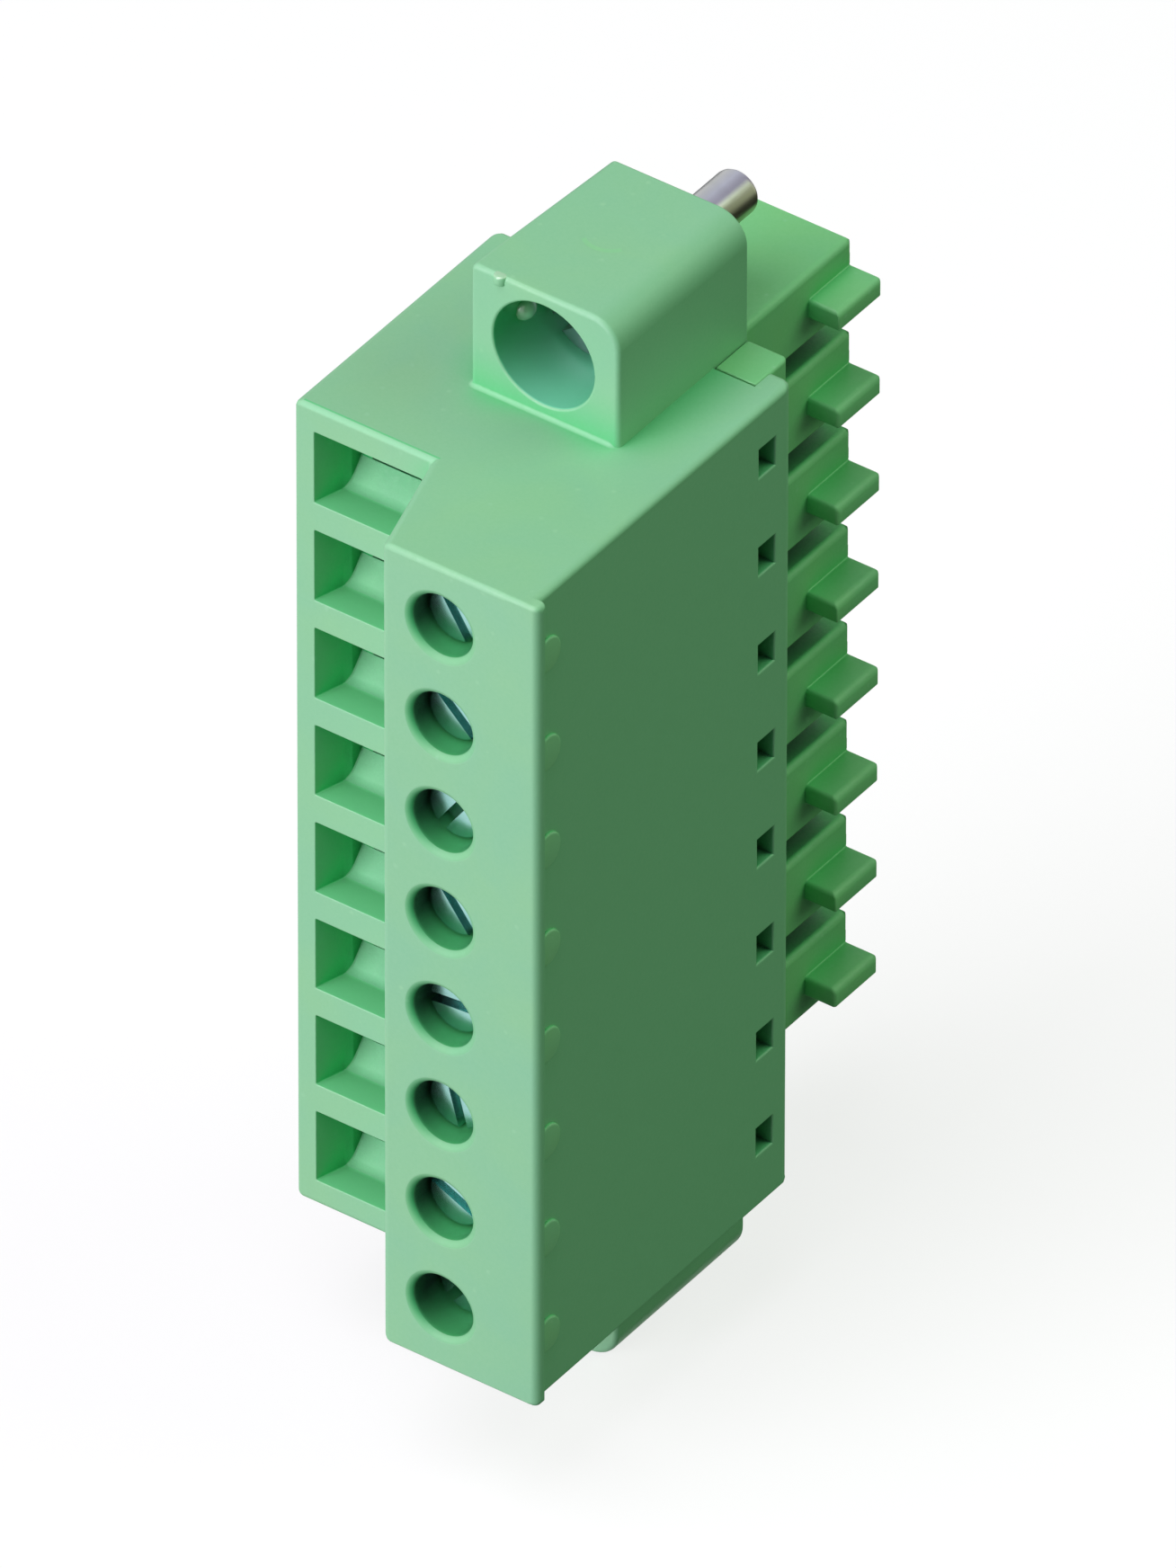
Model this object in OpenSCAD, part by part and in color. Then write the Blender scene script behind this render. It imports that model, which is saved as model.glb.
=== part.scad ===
// Front-screw terminal block plug with a screw flange at each end of its row.
// X runs across the row, Y from the screw face towards the plug, Z up along the row.
// The origin lies under the middle of the part, level with the foot of the lower flange.
// All sizes are in millimetres.

/* [Row] */
// Distance between neighbouring poles along the row
pitch = 3.81; // [3.7:0.01:4.2]
// Housing beyond the outermost half pitch at each end of the row
end_wall = 0.43; // [0.4:0.01:0.8]
// Wall left standing between two neighbouring clamp chambers
partition = 1.11; // [1:0.01:1.2]

/* [Front housing] */
// Overall width across the row
body_w = 12.28; // [12:0.02:12.8]
// Depth from the screw face to the rear rim
body_d = 14.85; // [14.6:0.05:15.6]
// Width of the screw face
screw_face_w = 5.87; // [5.6:0.01:6.1]
// How far the wire face is set back behind the screw face
step_depth = 4.26; // [3.8:0.02:4.4]
// How much the step wall leans away from the screw holes on its way back
step_lean = 1.23; // [0.8:0.01:1.4]
// Thickness of the lip that frames the screw face
lip_t = 0.45; // [0.3:0.01:0.6]
// How far the lip stands out from the plain side
lip_out = 0.3; // [0.2:0.01:0.4]
// Wall on the plain side
side_wall = 0.83; // [0.7:0.01:0.9]
// How much shorter the plain side is than the rear rim
side_cutback = 0.85; // [0.6:0.01:1.1]
// Wall on the wire side
wire_wall = 0.98; // [0.9:0.01:1.1]
// Radius of the half discs behind the lip
bump_r = 0.64; // [0.5:0.01:0.7]
// How far the half discs stand out
bump_out = 0.12; // [0.08:0.01:0.18]
// Width of the latch windows along the plug direction
window_w = 0.85; // [0.7:0.01:0.9]
// Height of the latch windows along the row
window_h = 1.1; // [1:0.01:1.2]
// How far the latch windows lie above their pole
window_rise = 0.25; // [0:0.01:0.3]

/* [Wire entries] */
// Height of a wire mouth along the row
mouth_h = 2.74; // [2.5:0.01:2.8]
// Housing left beside the mouths on the wire side
mouth_margin = 0.75; // [0.6:0.01:0.8]
// Housing left between the mouths and the step wall
mouth_gap = 0.35; // [0.2:0.01:0.5]
// Depth of the level part of a mouth
mouth_depth = 1.3; // [1:0.05:1.3]
// Depth of the ramps that lead into the throat
ramp_depth = 0.6; // [0.4:0.05:0.6]
// Height of the throat along the row
throat_h = 1.4; // [1.2:0.05:1.6]

/* [Clamp screws] */
// Distance from the lip's outer side to the screw axes
screw_inset = 3.7; // [3.6:0.01:3.8]
// Radius of a screw head
head_r = 1.02; // [0.95:0.01:1.1]
// Length of a screw head
head_l = 1.5; // [1.2:0.05:1.6]
// Depth of a loosened head below the screw face
head_depth = 0.75; // [0.6:0.05:0.9]
// How much further in the lowest screw stands
deep_advance = 0.5; // [0.2:0.05:0.8]
// Radius of the threaded shank
shank_r = 0.9; // [0.8:0.01:0.94]
// Radius of the pilot that turns inside the wedge
pilot_r = 0.6; // [0.5:0.01:0.65]
// Width of the driver slots
slot_w = 0.36; // [0.3:0.01:0.45]
// Depth of the driver slots
slot_depth = 0.6; // [0.5:0.05:0.7]

/* [Clamps] */
// Travel of a wedge from loosened to tight
wedge_travel = 1.4; // [1:0.05:1.4]
// Width of an open clamp, between the jaw and the current bar
wire_gap = 2.3; // [2:0.05:2.4]
// Thickness of the sheet metal
plate_t = 0.6; // [0.5:0.05:0.65]
// Thickness of the threaded ear
ear_t = 1.2; // [1:0.05:1.3]
// Length of a jaw along the wire
jaw_l = 2.6; // [2.2:0.05:2.7]

/* [Flanges] */
// How far a flange stands beyond the end of the row
flange_h = 4.7; // [4.5:0.02:5]
// Width of a flange at its front
flange_w = 5.6; // [5.4:0.02:5.8]
// How much narrower a flange is at its back
flange_draft = 0.45; // [0:0.01:0.5]
// Depth from the screw face to the front of a flange
flange_front = 8; // [7.8:0.02:8.2]
// Distance from the lip's outer side to the right face of a flange
flange_inset = 2.7; // [2.6:0.01:2.8]
// Radius of the outer right edge of a flange
flange_round = 1.1; // [0.8:0.01:1.2]
// Distance from the right face of a flange to its screw axis
bolt_inset = 2.85; // [2.75:0.01:2.9]
// Height of the flange screw axis above the end of the row
flange_rise = 2.34; // [2.3:0.01:2.5]
// Radius of the flange bore
flange_bore_r = 1.9; // [1.85:0.01:1.95]
// Wall behind the flange bore
flange_back = 1.3; // [1.1:0.05:1.5]

/* [Flange screws] */
// Radius of a flange screw head
cap_r = 1.7; // [1.6:0.01:1.75]
// Depth of the head inside the flange
cap_depth = 2.6; // [2.5:0.05:2.8]
// Radius of the flange screw shank
bolt_r = 1; // [0.95:0.01:1.05]
// Radius of the smooth tip
tip_r = 0.8; // [0.7:0.01:0.85]
// How far the tip stands out behind the flange
tip_reach = 3.55; // [3:0.05:4.5]
// Chamfer at the end of the tip
tip_edge = 0.2; // [0.1:0.01:0.3]

/* [Plug] */
// Length of the plug behind the rear rim
plug_l = 7.02; // [6.6:0.02:7.4]
// Width of the plug across the row
plug_w = 4.98; // [4.8:0.02:5.2]
// Distance from the lip's outer side to the ribbed side of the plug
plug_inset = 3.82; // [3.7:0.01:3.9]
// Height of one plug finger along the row
finger_h = 2.67; // [2.6:0.01:2.75]
// Depth of the slots between the fingers
finger_slot = 2.08; // [1.8:0.02:2.2]
// How far the coding ribs stand out
rib_out = 1.14; // [0.9:0.01:1.3]
// Thickness of the coding ribs
rib_t = 0.7; // [0.6:0.01:0.8]
// Length of the coding ribs
rib_l = 2.25; // [2:0.05:2.5]
// Thickness of the collar that closes the housing
collar_t = 1.85; // [1.7:0.05:1.9]
// Width of the square hole for a header pin
pin_hole = 1.3; // [1.2:0.05:1.4]

/* [Hidden] */
$fn = 64;

// The row holds eight poles, counted from the top
poles = 8;
// Angle of each clamp screw slot up from the horizontal, seen from the screw face
slot_turn = [-54, -40, 55, -53, 5, -75, -25, 50];
// Angle of the flange screw slots
cap_turn = 35;

// Overshoot of every cut past the face it opens
cut_over = 0.5;
// Play of a screw head in its hole
head_play = 0.1;
// Running clearance of a shank or pilot in its bore
run_gap = 0.05;
// Clearance between sliding clamp faces
slide_gap = 0.05;
// Clearance between a clamp piece and the chamber walls
chamber_gap = 0.1;
// Clearance between the two mouldings
mould_gap = 0.03;
// Room between a tightened head and the threaded ear
head_room = 0.5;
// Clearance under a flange screw head
cap_gap = 0.05;
// Radial clearance of a flange screw shank in its hole
bolt_gap = 0.08;
// Room between the nubs and a flange screw head
nub_room = 0.5;
// Play of a latch nose in its window
nose_play = 0.12;

// Row and body
body_h = poles * pitch + 2 * end_wall;
total_d = body_d + plug_l;
x_right = body_w / 2;
x_left = -body_w / 2;
x_side = x_right - lip_out;
x_wall = x_side - side_wall;
x_face = x_right - screw_face_w;
x_step = x_face - step_lean;
y_front = -total_d / 2;
y_wire = y_front + step_depth;
y_rim = y_front + body_d;
y_seat = y_rim - collar_t;
y_side = y_rim - side_cutback;
y_tip = total_d / 2;
z_low = flange_h;
z_top = flange_h + body_h;
end_skin = end_wall + partition / 2;
function pole_z(i) = z_top - end_wall - (i - 0.5) * pitch;

// Chambers
chamber_h = pitch - partition;
x_chamber = x_left + wire_wall;
y_chamber = y_wire + mouth_depth + ramp_depth + plate_t / 2;
y_ear = y_front + head_depth + head_l + wedge_travel + head_room;
x_screw = x_right - screw_inset;
ear_l = 2 * (x_wall - x_screw);
x_ear = x_wall - ear_l;
head_hole_r = head_r + head_play;

// Clamp pieces at rest
piece_h = chamber_h - 2 * chamber_gap;
x_bar = x_chamber + plate_t;
x_jaw = x_bar + wire_gap;
wedge_neck = 0.5;
wedge_l = 2.9;
wedge_reach = 2;
x_wedge = x_screw - wedge_reach;
wedge_w = x_wall - plate_t - slide_gap - x_wedge;
y_wedge = y_ear + ear_t + wedge_travel + slide_gap;
y_slope = y_wedge + wedge_neck;
y_jaw = y_slope + plate_t / 2;
y_web = y_jaw + jaw_l + slide_gap;
pilot_l = 0.8;
shank_l = y_wedge - run_gap - (y_front + head_depth + head_l);
cage_l = y_web + plate_t - y_ear;

// Flanges
x_flange = x_right - flange_inset;
x_bolt = x_flange - bolt_inset;
y_flange = y_front + flange_front;
y_cap_seat = y_rim - flange_back;
nub_r = 0.45;
nub_l = 1.2;
y_nub = y_flange + cap_depth - nub_r - nub_room;
y_cap = y_flange + cap_depth;
cap_l = y_cap_seat - cap_gap - y_cap;
cap_slot_w = 0.6;
cap_slot_depth = 0.8;

// Plug
x_plug = x_right - plug_inset;
x_split = x_plug - finger_slot;
x_plug_left = x_plug - plug_w;
socket_w = 2.2;
socket_h = 1.8;
socket_hole = 1;
socket_hole_l = 6.5;
socket_inset = 2.23;
x_socket = x_plug - socket_inset;
nose_wall = 0.8;
y_socket_end = y_tip - nose_wall - slide_gap;
arm_t = 0.45;
arm_h = 1.6;
nose_h = window_h - 2 * nose_play;
nose_w = window_w - 2 * nose_play;
nose_out = 0.1;
y_window = y_seat - window_w - slide_gap;
y_nose = y_window + nose_play;
bump_set = 0.4;

// Colours
housing_green = [0.40, 0.68, 0.47];
plug_green = [0.37, 0.65, 0.44];
zinc = [0.66, 0.69, 0.74];
steel = [0.60, 0.61, 0.63];
tin = [0.78, 0.78, 0.76];

// A box given by its low and high corners
module block(low, high) {
    translate(low)
        cube(high - low);
}

// A rod along the plug direction, starting at a point
module rod(start, radius, length) {
    translate(start)
        rotate([-90, 0, 0])
            cylinder(h = length, r = radius);
}

// Plan outline of the front housing
module housing_outline() {
    polygon([
        [x_left, y_wire],
        [x_step, y_wire],
        [x_face, y_front],
        [x_right, y_front],
        [x_right, y_front + lip_t],
        [x_side, y_front + lip_t],
        [x_side, y_side],
        [x_wall, y_side],
        [x_wall, y_rim],
        [x_left, y_rim]
    ]);
}

// Plan outline of a flange, with its draft on the wire side
module flange_outline() {
    polygon([
        [x_flange - flange_w, y_flange],
        [x_flange, y_flange],
        [x_flange, y_rim],
        [x_flange - flange_w + flange_draft, y_rim]
    ]);
}

// Upright outline of a flange, rounded on its outer right edge; end is 1 above the row, -1 below
module flange_front_outline(end) {
    z_root = end > 0 ? z_top - end_skin : z_low + end_skin;
    z_far = end > 0 ? z_top + flange_h : z_low - flange_h;
    z_round = z_far - end * flange_round;
    x_round = x_flange - flange_round;
    translate([x_flange - flange_w, min(z_root, z_round)])
        square([flange_w, abs(z_round - z_root)]);
    translate([x_flange - flange_w, min(z_root, z_far)])
        square([flange_w - flange_round, abs(z_far - z_root)]);
    translate([x_round, z_round])
        circle(r = flange_round);
}

module flange_block(end) {
    intersection() {
        translate([0, 0, end > 0 ? z_top - end_skin : z_low - flange_h])
            linear_extrude(height = flange_h + end_skin)
                flange_outline();
        translate([0, y_rim, 0])
            rotate([90, 0, 0])
                linear_extrude(height = body_d - flange_front)
                    flange_front_outline(end);
    }
}

function bolt_z(end) = end > 0 ? z_top + flange_rise : z_low - flange_rise;

module flange_cut(end) {
    rod([x_bolt, y_flange - cut_over, bolt_z(end)], flange_bore_r, y_cap_seat - y_flange + cut_over);
    rod([x_bolt, y_cap_seat - cut_over, bolt_z(end)], bolt_r + bolt_gap, flange_back + 2 * cut_over);
}

// Two nubs that keep a flange screw from dropping out
module flange_nubs(end) {
    for (side = [-1, 1])
        translate([x_bolt + side * flange_bore_r, y_nub, bolt_z(end) - nub_l / 2])
            cylinder(h = nub_l, r = nub_r);
}

// Wire entry: a level mouth, ramps above and below, and the throat
module wire_entry(z) {
    y_ramp = y_wire + mouth_depth;
    y_throat = y_ramp + ramp_depth;
    mouth_left = x_left + mouth_margin;
    mouth_right = x_step - mouth_gap;
    intersection() {
        translate([0, 0, z - mouth_h / 2])
            linear_extrude(height = mouth_h)
                polygon([
                    [mouth_left, y_wire - cut_over],
                    [mouth_right, y_wire - cut_over],
                    [mouth_right, y_wire],
                    [x_jaw, y_throat],
                    [x_bar, y_throat],
                    [mouth_left, y_wire]
                ]);
        translate([mouth_left, 0, z])
            rotate([90, 0, 90])
                linear_extrude(height = mouth_right - mouth_left)
                    polygon([
                        [y_wire - cut_over, -mouth_h / 2],
                        [y_ramp, -mouth_h / 2],
                        [y_throat, -throat_h / 2],
                        [y_throat, throat_h / 2],
                        [y_ramp, mouth_h / 2],
                        [y_wire - cut_over, mouth_h / 2]
                    ]);
    }
    block([x_bar, y_throat - plate_t, z - throat_h / 2], [x_jaw, y_chamber + cut_over, z + throat_h / 2]);
}

// Everything cut out of the front housing at one pole
module pole_cut(i) {
    z = pole_z(i);
    low = z - chamber_h / 2;
    high = z + chamber_h / 2;
    wire_entry(z);
    rod([x_screw, y_front - cut_over, z], head_hole_r, y_ear - y_front + 2 * cut_over);
    block([x_ear - chamber_gap, y_ear, low], [x_wall, y_chamber + cut_over, high]);
    block([x_chamber, y_chamber, low], [x_wall, y_seat + cut_over, high]);
    block(
        [x_wall - cut_over, y_window, z + window_rise - window_h / 2],
        [x_side + cut_over, y_window + window_w, z + window_rise + window_h / 2]
    );
}

module front_housing() {
    color(housing_green) {
        difference() {
            union() {
                translate([0, 0, z_low])
                    linear_extrude(height = body_h)
                        housing_outline();
                flange_block(1);
                flange_block(-1);
                for (i = [1:poles])
                    translate([x_side - side_wall / 2, y_front + lip_t + bump_set, pole_z(i)])
                        rotate([0, 90, 0])
                            cylinder(h = side_wall / 2 + bump_out, r = bump_r);
            }
            for (i = [1:poles])
                pole_cut(i);
            block([x_chamber, y_seat, z_low + end_skin], [x_wall, y_rim + cut_over, z_top - end_skin]);
            block([x_flange, y_seat, z_low - cut_over], [x_wall, y_rim + cut_over, z_top + cut_over]);
            flange_cut(1);
            flange_cut(-1);
        }
        flange_nubs(1);
        flange_nubs(-1);
    }
}

// One plug finger with its coding rib and its latch
module plug_finger(i) {
    z = pole_z(i);
    z_latch = z + window_rise;
    block([x_split - cut_over, y_rim - collar_t / 2, z - finger_h / 2], [x_plug, y_tip, z + finger_h / 2]);
    block([x_plug - cut_over, y_tip - rib_l, z - rib_t / 2], [x_plug + rib_out, y_tip, z + rib_t / 2]);
    block(
        [x_wall - mould_gap - arm_t, y_window, z_latch - arm_h / 2],
        [x_wall - mould_gap, y_seat + collar_t / 2, z_latch + arm_h / 2]
    );
    block(
        [x_wall - mould_gap - arm_t, y_nose, z_latch - nose_h / 2],
        [x_wall + nose_out, y_nose + nose_w, z_latch + nose_h / 2]
    );
}

module socket_cut(i) {
    z = pole_z(i);
    half_w = socket_w / 2 + mould_gap;
    half_h = socket_h / 2 + mould_gap;
    block(
        [x_socket - half_w, y_seat - cut_over, z - half_h],
        [x_socket + half_w, y_tip - nose_wall, z + half_h]
    );
    block(
        [x_socket - pin_hole / 2, y_tip - nose_wall - cut_over, z - pin_hole / 2],
        [x_socket + pin_hole / 2, y_tip + cut_over, z + pin_hole / 2]
    );
}

module plug_body() {
    color(plug_green)
        difference() {
            union() {
                block(
                    [x_chamber + mould_gap, y_seat, z_low + end_skin + mould_gap],
                    [x_wall - mould_gap, y_rim, z_top - end_skin - mould_gap]
                );
                block([x_flange + mould_gap, y_seat + mould_gap, z_low], [x_wall - mould_gap, y_rim, z_top]);
                block(
                    [x_plug_left, y_rim - collar_t / 2, pole_z(poles) - finger_h / 2],
                    [x_split, y_tip, pole_z(1) + finger_h / 2]
                );
                for (i = [1:poles])
                    plug_finger(i);
            }
            for (i = [1:poles])
                socket_cut(i);
        }
}

function advance(i) = i == poles ? deep_advance : 0;

module clamp_screw(i) {
    y_head = y_front + head_depth + advance(i);
    z = pole_z(i);
    color(zinc)
        difference() {
            union() {
                rod([x_screw, y_head, z], head_r, head_l);
                rod([x_screw, y_head + head_l / 2, z], shank_r, shank_l + head_l / 2);
                rod([x_screw, y_head + head_l, z], pilot_r, shank_l + pilot_l);
            }
            translate([x_screw, y_head, z])
                rotate([0, -slot_turn[i - 1], 0])
                    translate([-2 * head_r, -cut_over, -slot_w / 2])
                        cube([4 * head_r, slot_depth + cut_over, slot_w]);
        }
}

// Plan outline of a wedge, with its sloping face towards the wire
module wedge_outline() {
    polygon([
        [x_wedge, y_wedge],
        [x_wedge + wedge_w, y_wedge],
        [x_wedge + wedge_w, y_wedge + wedge_l],
        [x_wedge + wedge_l - wedge_neck, y_wedge + wedge_l],
        [x_wedge, y_slope]
    ]);
}

module clamp_wedge(i) {
    color(steel)
        translate([0, advance(i), pole_z(i)])
            difference() {
                translate([0, 0, -piece_h / 2])
                    linear_extrude(height = piece_h)
                        wedge_outline();
                rod([x_screw, y_wedge - cut_over, 0], pilot_r + run_gap, pilot_l + run_gap + cut_over);
            }
}

// Plan outline of a jaw, with its sloping face against the wedge
module jaw_outline() {
    x_contact = x_wedge - 2 * slide_gap;
    polygon([
        [x_jaw, y_jaw],
        [x_contact + y_jaw - y_slope, y_jaw],
        [x_contact + y_jaw + jaw_l - y_slope, y_jaw + jaw_l],
        [x_jaw, y_jaw + jaw_l]
    ]);
}

module clamp_jaw(i) {
    color(steel)
        translate([-advance(i), 0, pole_z(i) - piece_h / 2])
            linear_extrude(height = piece_h)
                jaw_outline();
}

module clamp_cage(i) {
    half = piece_h / 2;
    color(steel)
        translate([0, 0, pole_z(i)])
            difference() {
                union() {
                    block([x_ear, y_ear, -half], [x_wall, y_ear + ear_t, half]);
                    block([x_wall - plate_t, y_ear, -half], [x_wall, y_ear + cage_l, half]);
                }
                rod([x_screw, y_ear - cut_over, 0], shank_r + run_gap, ear_t + 2 * cut_over);
            }
}

module contact(i) {
    half = piece_h / 2;
    color(tin)
        translate([0, 0, pole_z(i)])
            difference() {
                union() {
                    block([x_chamber, y_chamber + slide_gap, -half], [x_bar, y_web + plate_t, half]);
                    block([x_chamber, y_web, -half], [x_socket + socket_w / 2, y_web + plate_t, half]);
                    block(
                        [x_socket - socket_w / 2, y_web, -socket_h / 2],
                        [x_socket + socket_w / 2, y_socket_end, socket_h / 2]
                    );
                }
                block(
                    [x_socket - socket_hole / 2, y_socket_end - socket_hole_l, -socket_hole / 2],
                    [x_socket + socket_hole / 2, y_socket_end + cut_over, socket_hole / 2]
                );
            }
}

module flange_screw(end) {
    z = bolt_z(end);
    color(zinc)
        difference() {
            union() {
                rod([x_bolt, y_cap, z], cap_r, cap_l);
                rod([x_bolt, y_cap + cap_l / 2, z], bolt_r, y_rim - y_cap - cap_l / 2);
                rod([x_bolt, y_cap + cap_l, z], tip_r, y_rim - y_cap - cap_l + tip_reach - tip_edge);
                translate([x_bolt, y_rim + tip_reach - tip_edge, z])
                    rotate([-90, 0, 0])
                        cylinder(h = tip_edge, r1 = tip_r, r2 = tip_r - tip_edge);
            }
            translate([x_bolt, y_cap, z])
                rotate([0, -cap_turn, 0])
                    translate([-2 * cap_r, -cut_over, -cap_slot_w / 2])
                        cube([4 * cap_r, cap_slot_depth + cut_over, cap_slot_w]);
        }
}

front_housing();
plug_body();
flange_screw(1);  // flange_screw_upper
flange_screw(-1);  // flange_screw_lower
clamp_screw(1);  // clamp_screw_1
clamp_screw(2);  // clamp_screw_2
clamp_screw(3);  // clamp_screw_3
clamp_screw(4);  // clamp_screw_4
clamp_screw(5);  // clamp_screw_5
clamp_screw(6);  // clamp_screw_6
clamp_screw(7);  // clamp_screw_7
clamp_screw(8);  // clamp_screw_8
clamp_wedge(1);  // clamp_wedge_1
clamp_wedge(2);  // clamp_wedge_2
clamp_wedge(3);  // clamp_wedge_3
clamp_wedge(4);  // clamp_wedge_4
clamp_wedge(5);  // clamp_wedge_5
clamp_wedge(6);  // clamp_wedge_6
clamp_wedge(7);  // clamp_wedge_7
clamp_wedge(8);  // clamp_wedge_8
clamp_jaw(1);  // clamp_jaw_1
clamp_jaw(2);  // clamp_jaw_2
clamp_jaw(3);  // clamp_jaw_3
clamp_jaw(4);  // clamp_jaw_4
clamp_jaw(5);  // clamp_jaw_5
clamp_jaw(6);  // clamp_jaw_6
clamp_jaw(7);  // clamp_jaw_7
clamp_jaw(8);  // clamp_jaw_8
clamp_cage(1);  // clamp_cage_1
clamp_cage(2);  // clamp_cage_2
clamp_cage(3);  // clamp_cage_3
clamp_cage(4);  // clamp_cage_4
clamp_cage(5);  // clamp_cage_5
clamp_cage(6);  // clamp_cage_6
clamp_cage(7);  // clamp_cage_7
clamp_cage(8);  // clamp_cage_8
contact(1);  // contact_1
contact(2);  // contact_2
contact(3);  // contact_3
contact(4);  // contact_4
contact(5);  // contact_5
contact(6);  // contact_6
contact(7);  // contact_7
contact(8);  // contact_8
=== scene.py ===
import math
import bpy
import bmesh
from mathutils import Matrix, Vector


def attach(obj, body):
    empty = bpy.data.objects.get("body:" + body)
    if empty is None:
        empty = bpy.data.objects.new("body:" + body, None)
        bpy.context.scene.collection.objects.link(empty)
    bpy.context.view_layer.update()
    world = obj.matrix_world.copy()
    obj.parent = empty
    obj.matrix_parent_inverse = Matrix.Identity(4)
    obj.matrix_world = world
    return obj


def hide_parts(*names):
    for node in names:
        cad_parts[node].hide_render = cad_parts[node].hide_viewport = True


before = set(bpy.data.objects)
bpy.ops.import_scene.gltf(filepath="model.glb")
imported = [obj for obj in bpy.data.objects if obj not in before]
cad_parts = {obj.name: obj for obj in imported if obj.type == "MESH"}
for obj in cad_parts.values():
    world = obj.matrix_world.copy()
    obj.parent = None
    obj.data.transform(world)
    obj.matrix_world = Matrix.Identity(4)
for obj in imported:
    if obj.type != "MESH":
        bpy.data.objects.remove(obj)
scene = bpy.context.scene
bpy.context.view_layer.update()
print("frame loaded, nodes:", len(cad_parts))

# all sizes below are millimetres in the part's frame, a piece becomes metres when it is handed over
row = {"poles": 8, "pitch": 3.81, "firstPole": 33.705, "low": 4.7, "top": 36.04}
poleHeights = [row["firstPole"] - row["pitch"] * step for step in range(row["poles"])]
millimetre = 0.001  # in metres
hair = 0.001  # keeps two faces from lying in one plane
clear = 0.6  # how far a cut starts outside the part
overlap = 0.5  # how far one cut or piece runs into the next
weld = 1e-4  # points of a new shape that lie closer become one
seam = 3e-4  # the same after all the cuts
sliver = 2e-4  # shorter edges are dissolved


# modelling helpers
def slab(bm, low, high):
    made = bmesh.ops.create_cube(bm, size=1.0)["verts"]
    bmesh.ops.scale(bm, vec=[b - a for a, b in zip(low, high)], verts=made)
    bmesh.ops.translate(bm, vec=[(a + b) / 2 for a, b in zip(low, high)], verts=made)
    return made


def poleSlabs(low, high, rise=0.0):
    # the same slab at every pole, with Z counted from the pole
    bm = bmesh.new()
    for z in poleHeights:
        slab(bm, (*low[:2], z + rise + low[2]), (*high[:2], z + rise + high[2]))
    return bm


def edgesWhere(bm, test):
    return [edge for edge in bm.edges if all(test(vert.co) for vert in edge.verts)]


def near(a, b):
    return abs(a - b) < 0.002


def edgesAt(bm, **places):
    # edges that lie in all of the given planes, such as x=1 and z=2
    return edgesWhere(bm, lambda p: all(near(getattr(p, way), place) for way, place in places.items()))


def runsAlong(edge, least=1):
    return abs(edge.verts[0].co.y - edge.verts[1].co.y) > least


def roundEdges(bm, edges, radius, segments=4):
    return bmesh.ops.bevel(bm, geom=edges, offset=radius, offset_type="OFFSET", segments=segments,
                           profile=0.5, affect="EDGES", clamp_overlap=False, material=-1)


def roundCorners(bm, verts, radius, segments=6):
    return bmesh.ops.bevel(bm, geom=verts, offset=radius, offset_type="OFFSET", segments=segments,
                           profile=0.5, affect="VERTICES", clamp_overlap=False, material=-1)


def pushFace(bm, face, move):
    alone = all(edge.is_boundary for edge in face.edges)
    made = bmesh.ops.extrude_face_region(bm, geom=[face])["geom"]
    bmesh.ops.translate(bm, vec=move, verts=[item for item in made if isinstance(item, bmesh.types.BMVert)])
    if not alone:  # the old face would be left inside the shape
        bmesh.ops.delete(bm, geom=[face], context="FACES_ONLY")
    return next(item for item in made if isinstance(item, bmesh.types.BMFace))


def flatFace(bm, corners):
    return bm.faces.new([bm.verts.new(corner) for corner in corners])


def turned(bm, profile, centre, steps=64):
    # profile is radius and Y, turned about an axis along Y through centre (x, z)
    verts = [bm.verts.new((centre[0] + radius, y, centre[1])) for radius, y in profile]
    edges = [bm.edges.new(pair) for pair in zip(verts, verts[1:])]
    bmesh.ops.spin(bm, geom=verts + edges, cent=(centre[0], 0, centre[1]), axis=(0, 1, 0),
                   angle=math.tau, steps=steps, use_merge=True)


def quarter(steps):
    # a quarter round of radius 1, as the distance left to either side
    turns = [math.pi / 2 * step / steps for step in range(steps + 1)]
    return [(1 - math.sin(t), 1 - math.cos(t)) for t in turns]


def rimProfile(radius, start, flare, steps=6, out=clear):
    # from outside the part through a flared rim at start into a bore of the given radius
    rim = [(radius + flare * a, start + flare * b) for a, b in quarter(steps)]
    return [(rim[0][0], start - out), *rim]


def tunnel(bm, axis, rings, cornerRound=0):
    # a rectangle pushed along X (0) or Y (1) from ring to ring, each ring is depth, low and high corner
    def corner(depth, across, up):
        return (depth, across, up) if axis == 0 else (across, depth, up)

    depth, low, high = rings[0]
    face = flatFace(bm, [corner(depth, low[0], low[1]), corner(depth, high[0], low[1]),
                         corner(depth, high[0], high[1]), corner(depth, low[0], high[1])])
    if cornerRound:
        roundCorners(bm, face.verts[:], cornerRound, 4)
        face = bm.faces[:][-1]
    for newDepth, newLow, newHigh in rings[1:]:
        face = pushFace(bm, face, corner(newDepth - depth, 0, 0))
        middle = Vector(corner(0, (low[0] + high[0]) / 2, (low[1] + high[1]) / 2))
        newMiddle = Vector(corner(0, (newLow[0] + newHigh[0]) / 2, (newLow[1] + newHigh[1]) / 2))
        grow = ((newHigh[0] - newLow[0]) / (high[0] - low[0]), (newHigh[1] - newLow[1]) / (high[1] - low[1]))
        stretch = (1, grow[0], grow[1]) if axis == 0 else (grow[0], 1, grow[1])
        bmesh.ops.scale(bm, vec=stretch, space=Matrix.Translation(-middle), verts=face.verts[:])
        bmesh.ops.translate(bm, vec=newMiddle - middle, verts=face.verts[:])
        depth, low, high = newDepth, newLow, newHigh


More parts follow.
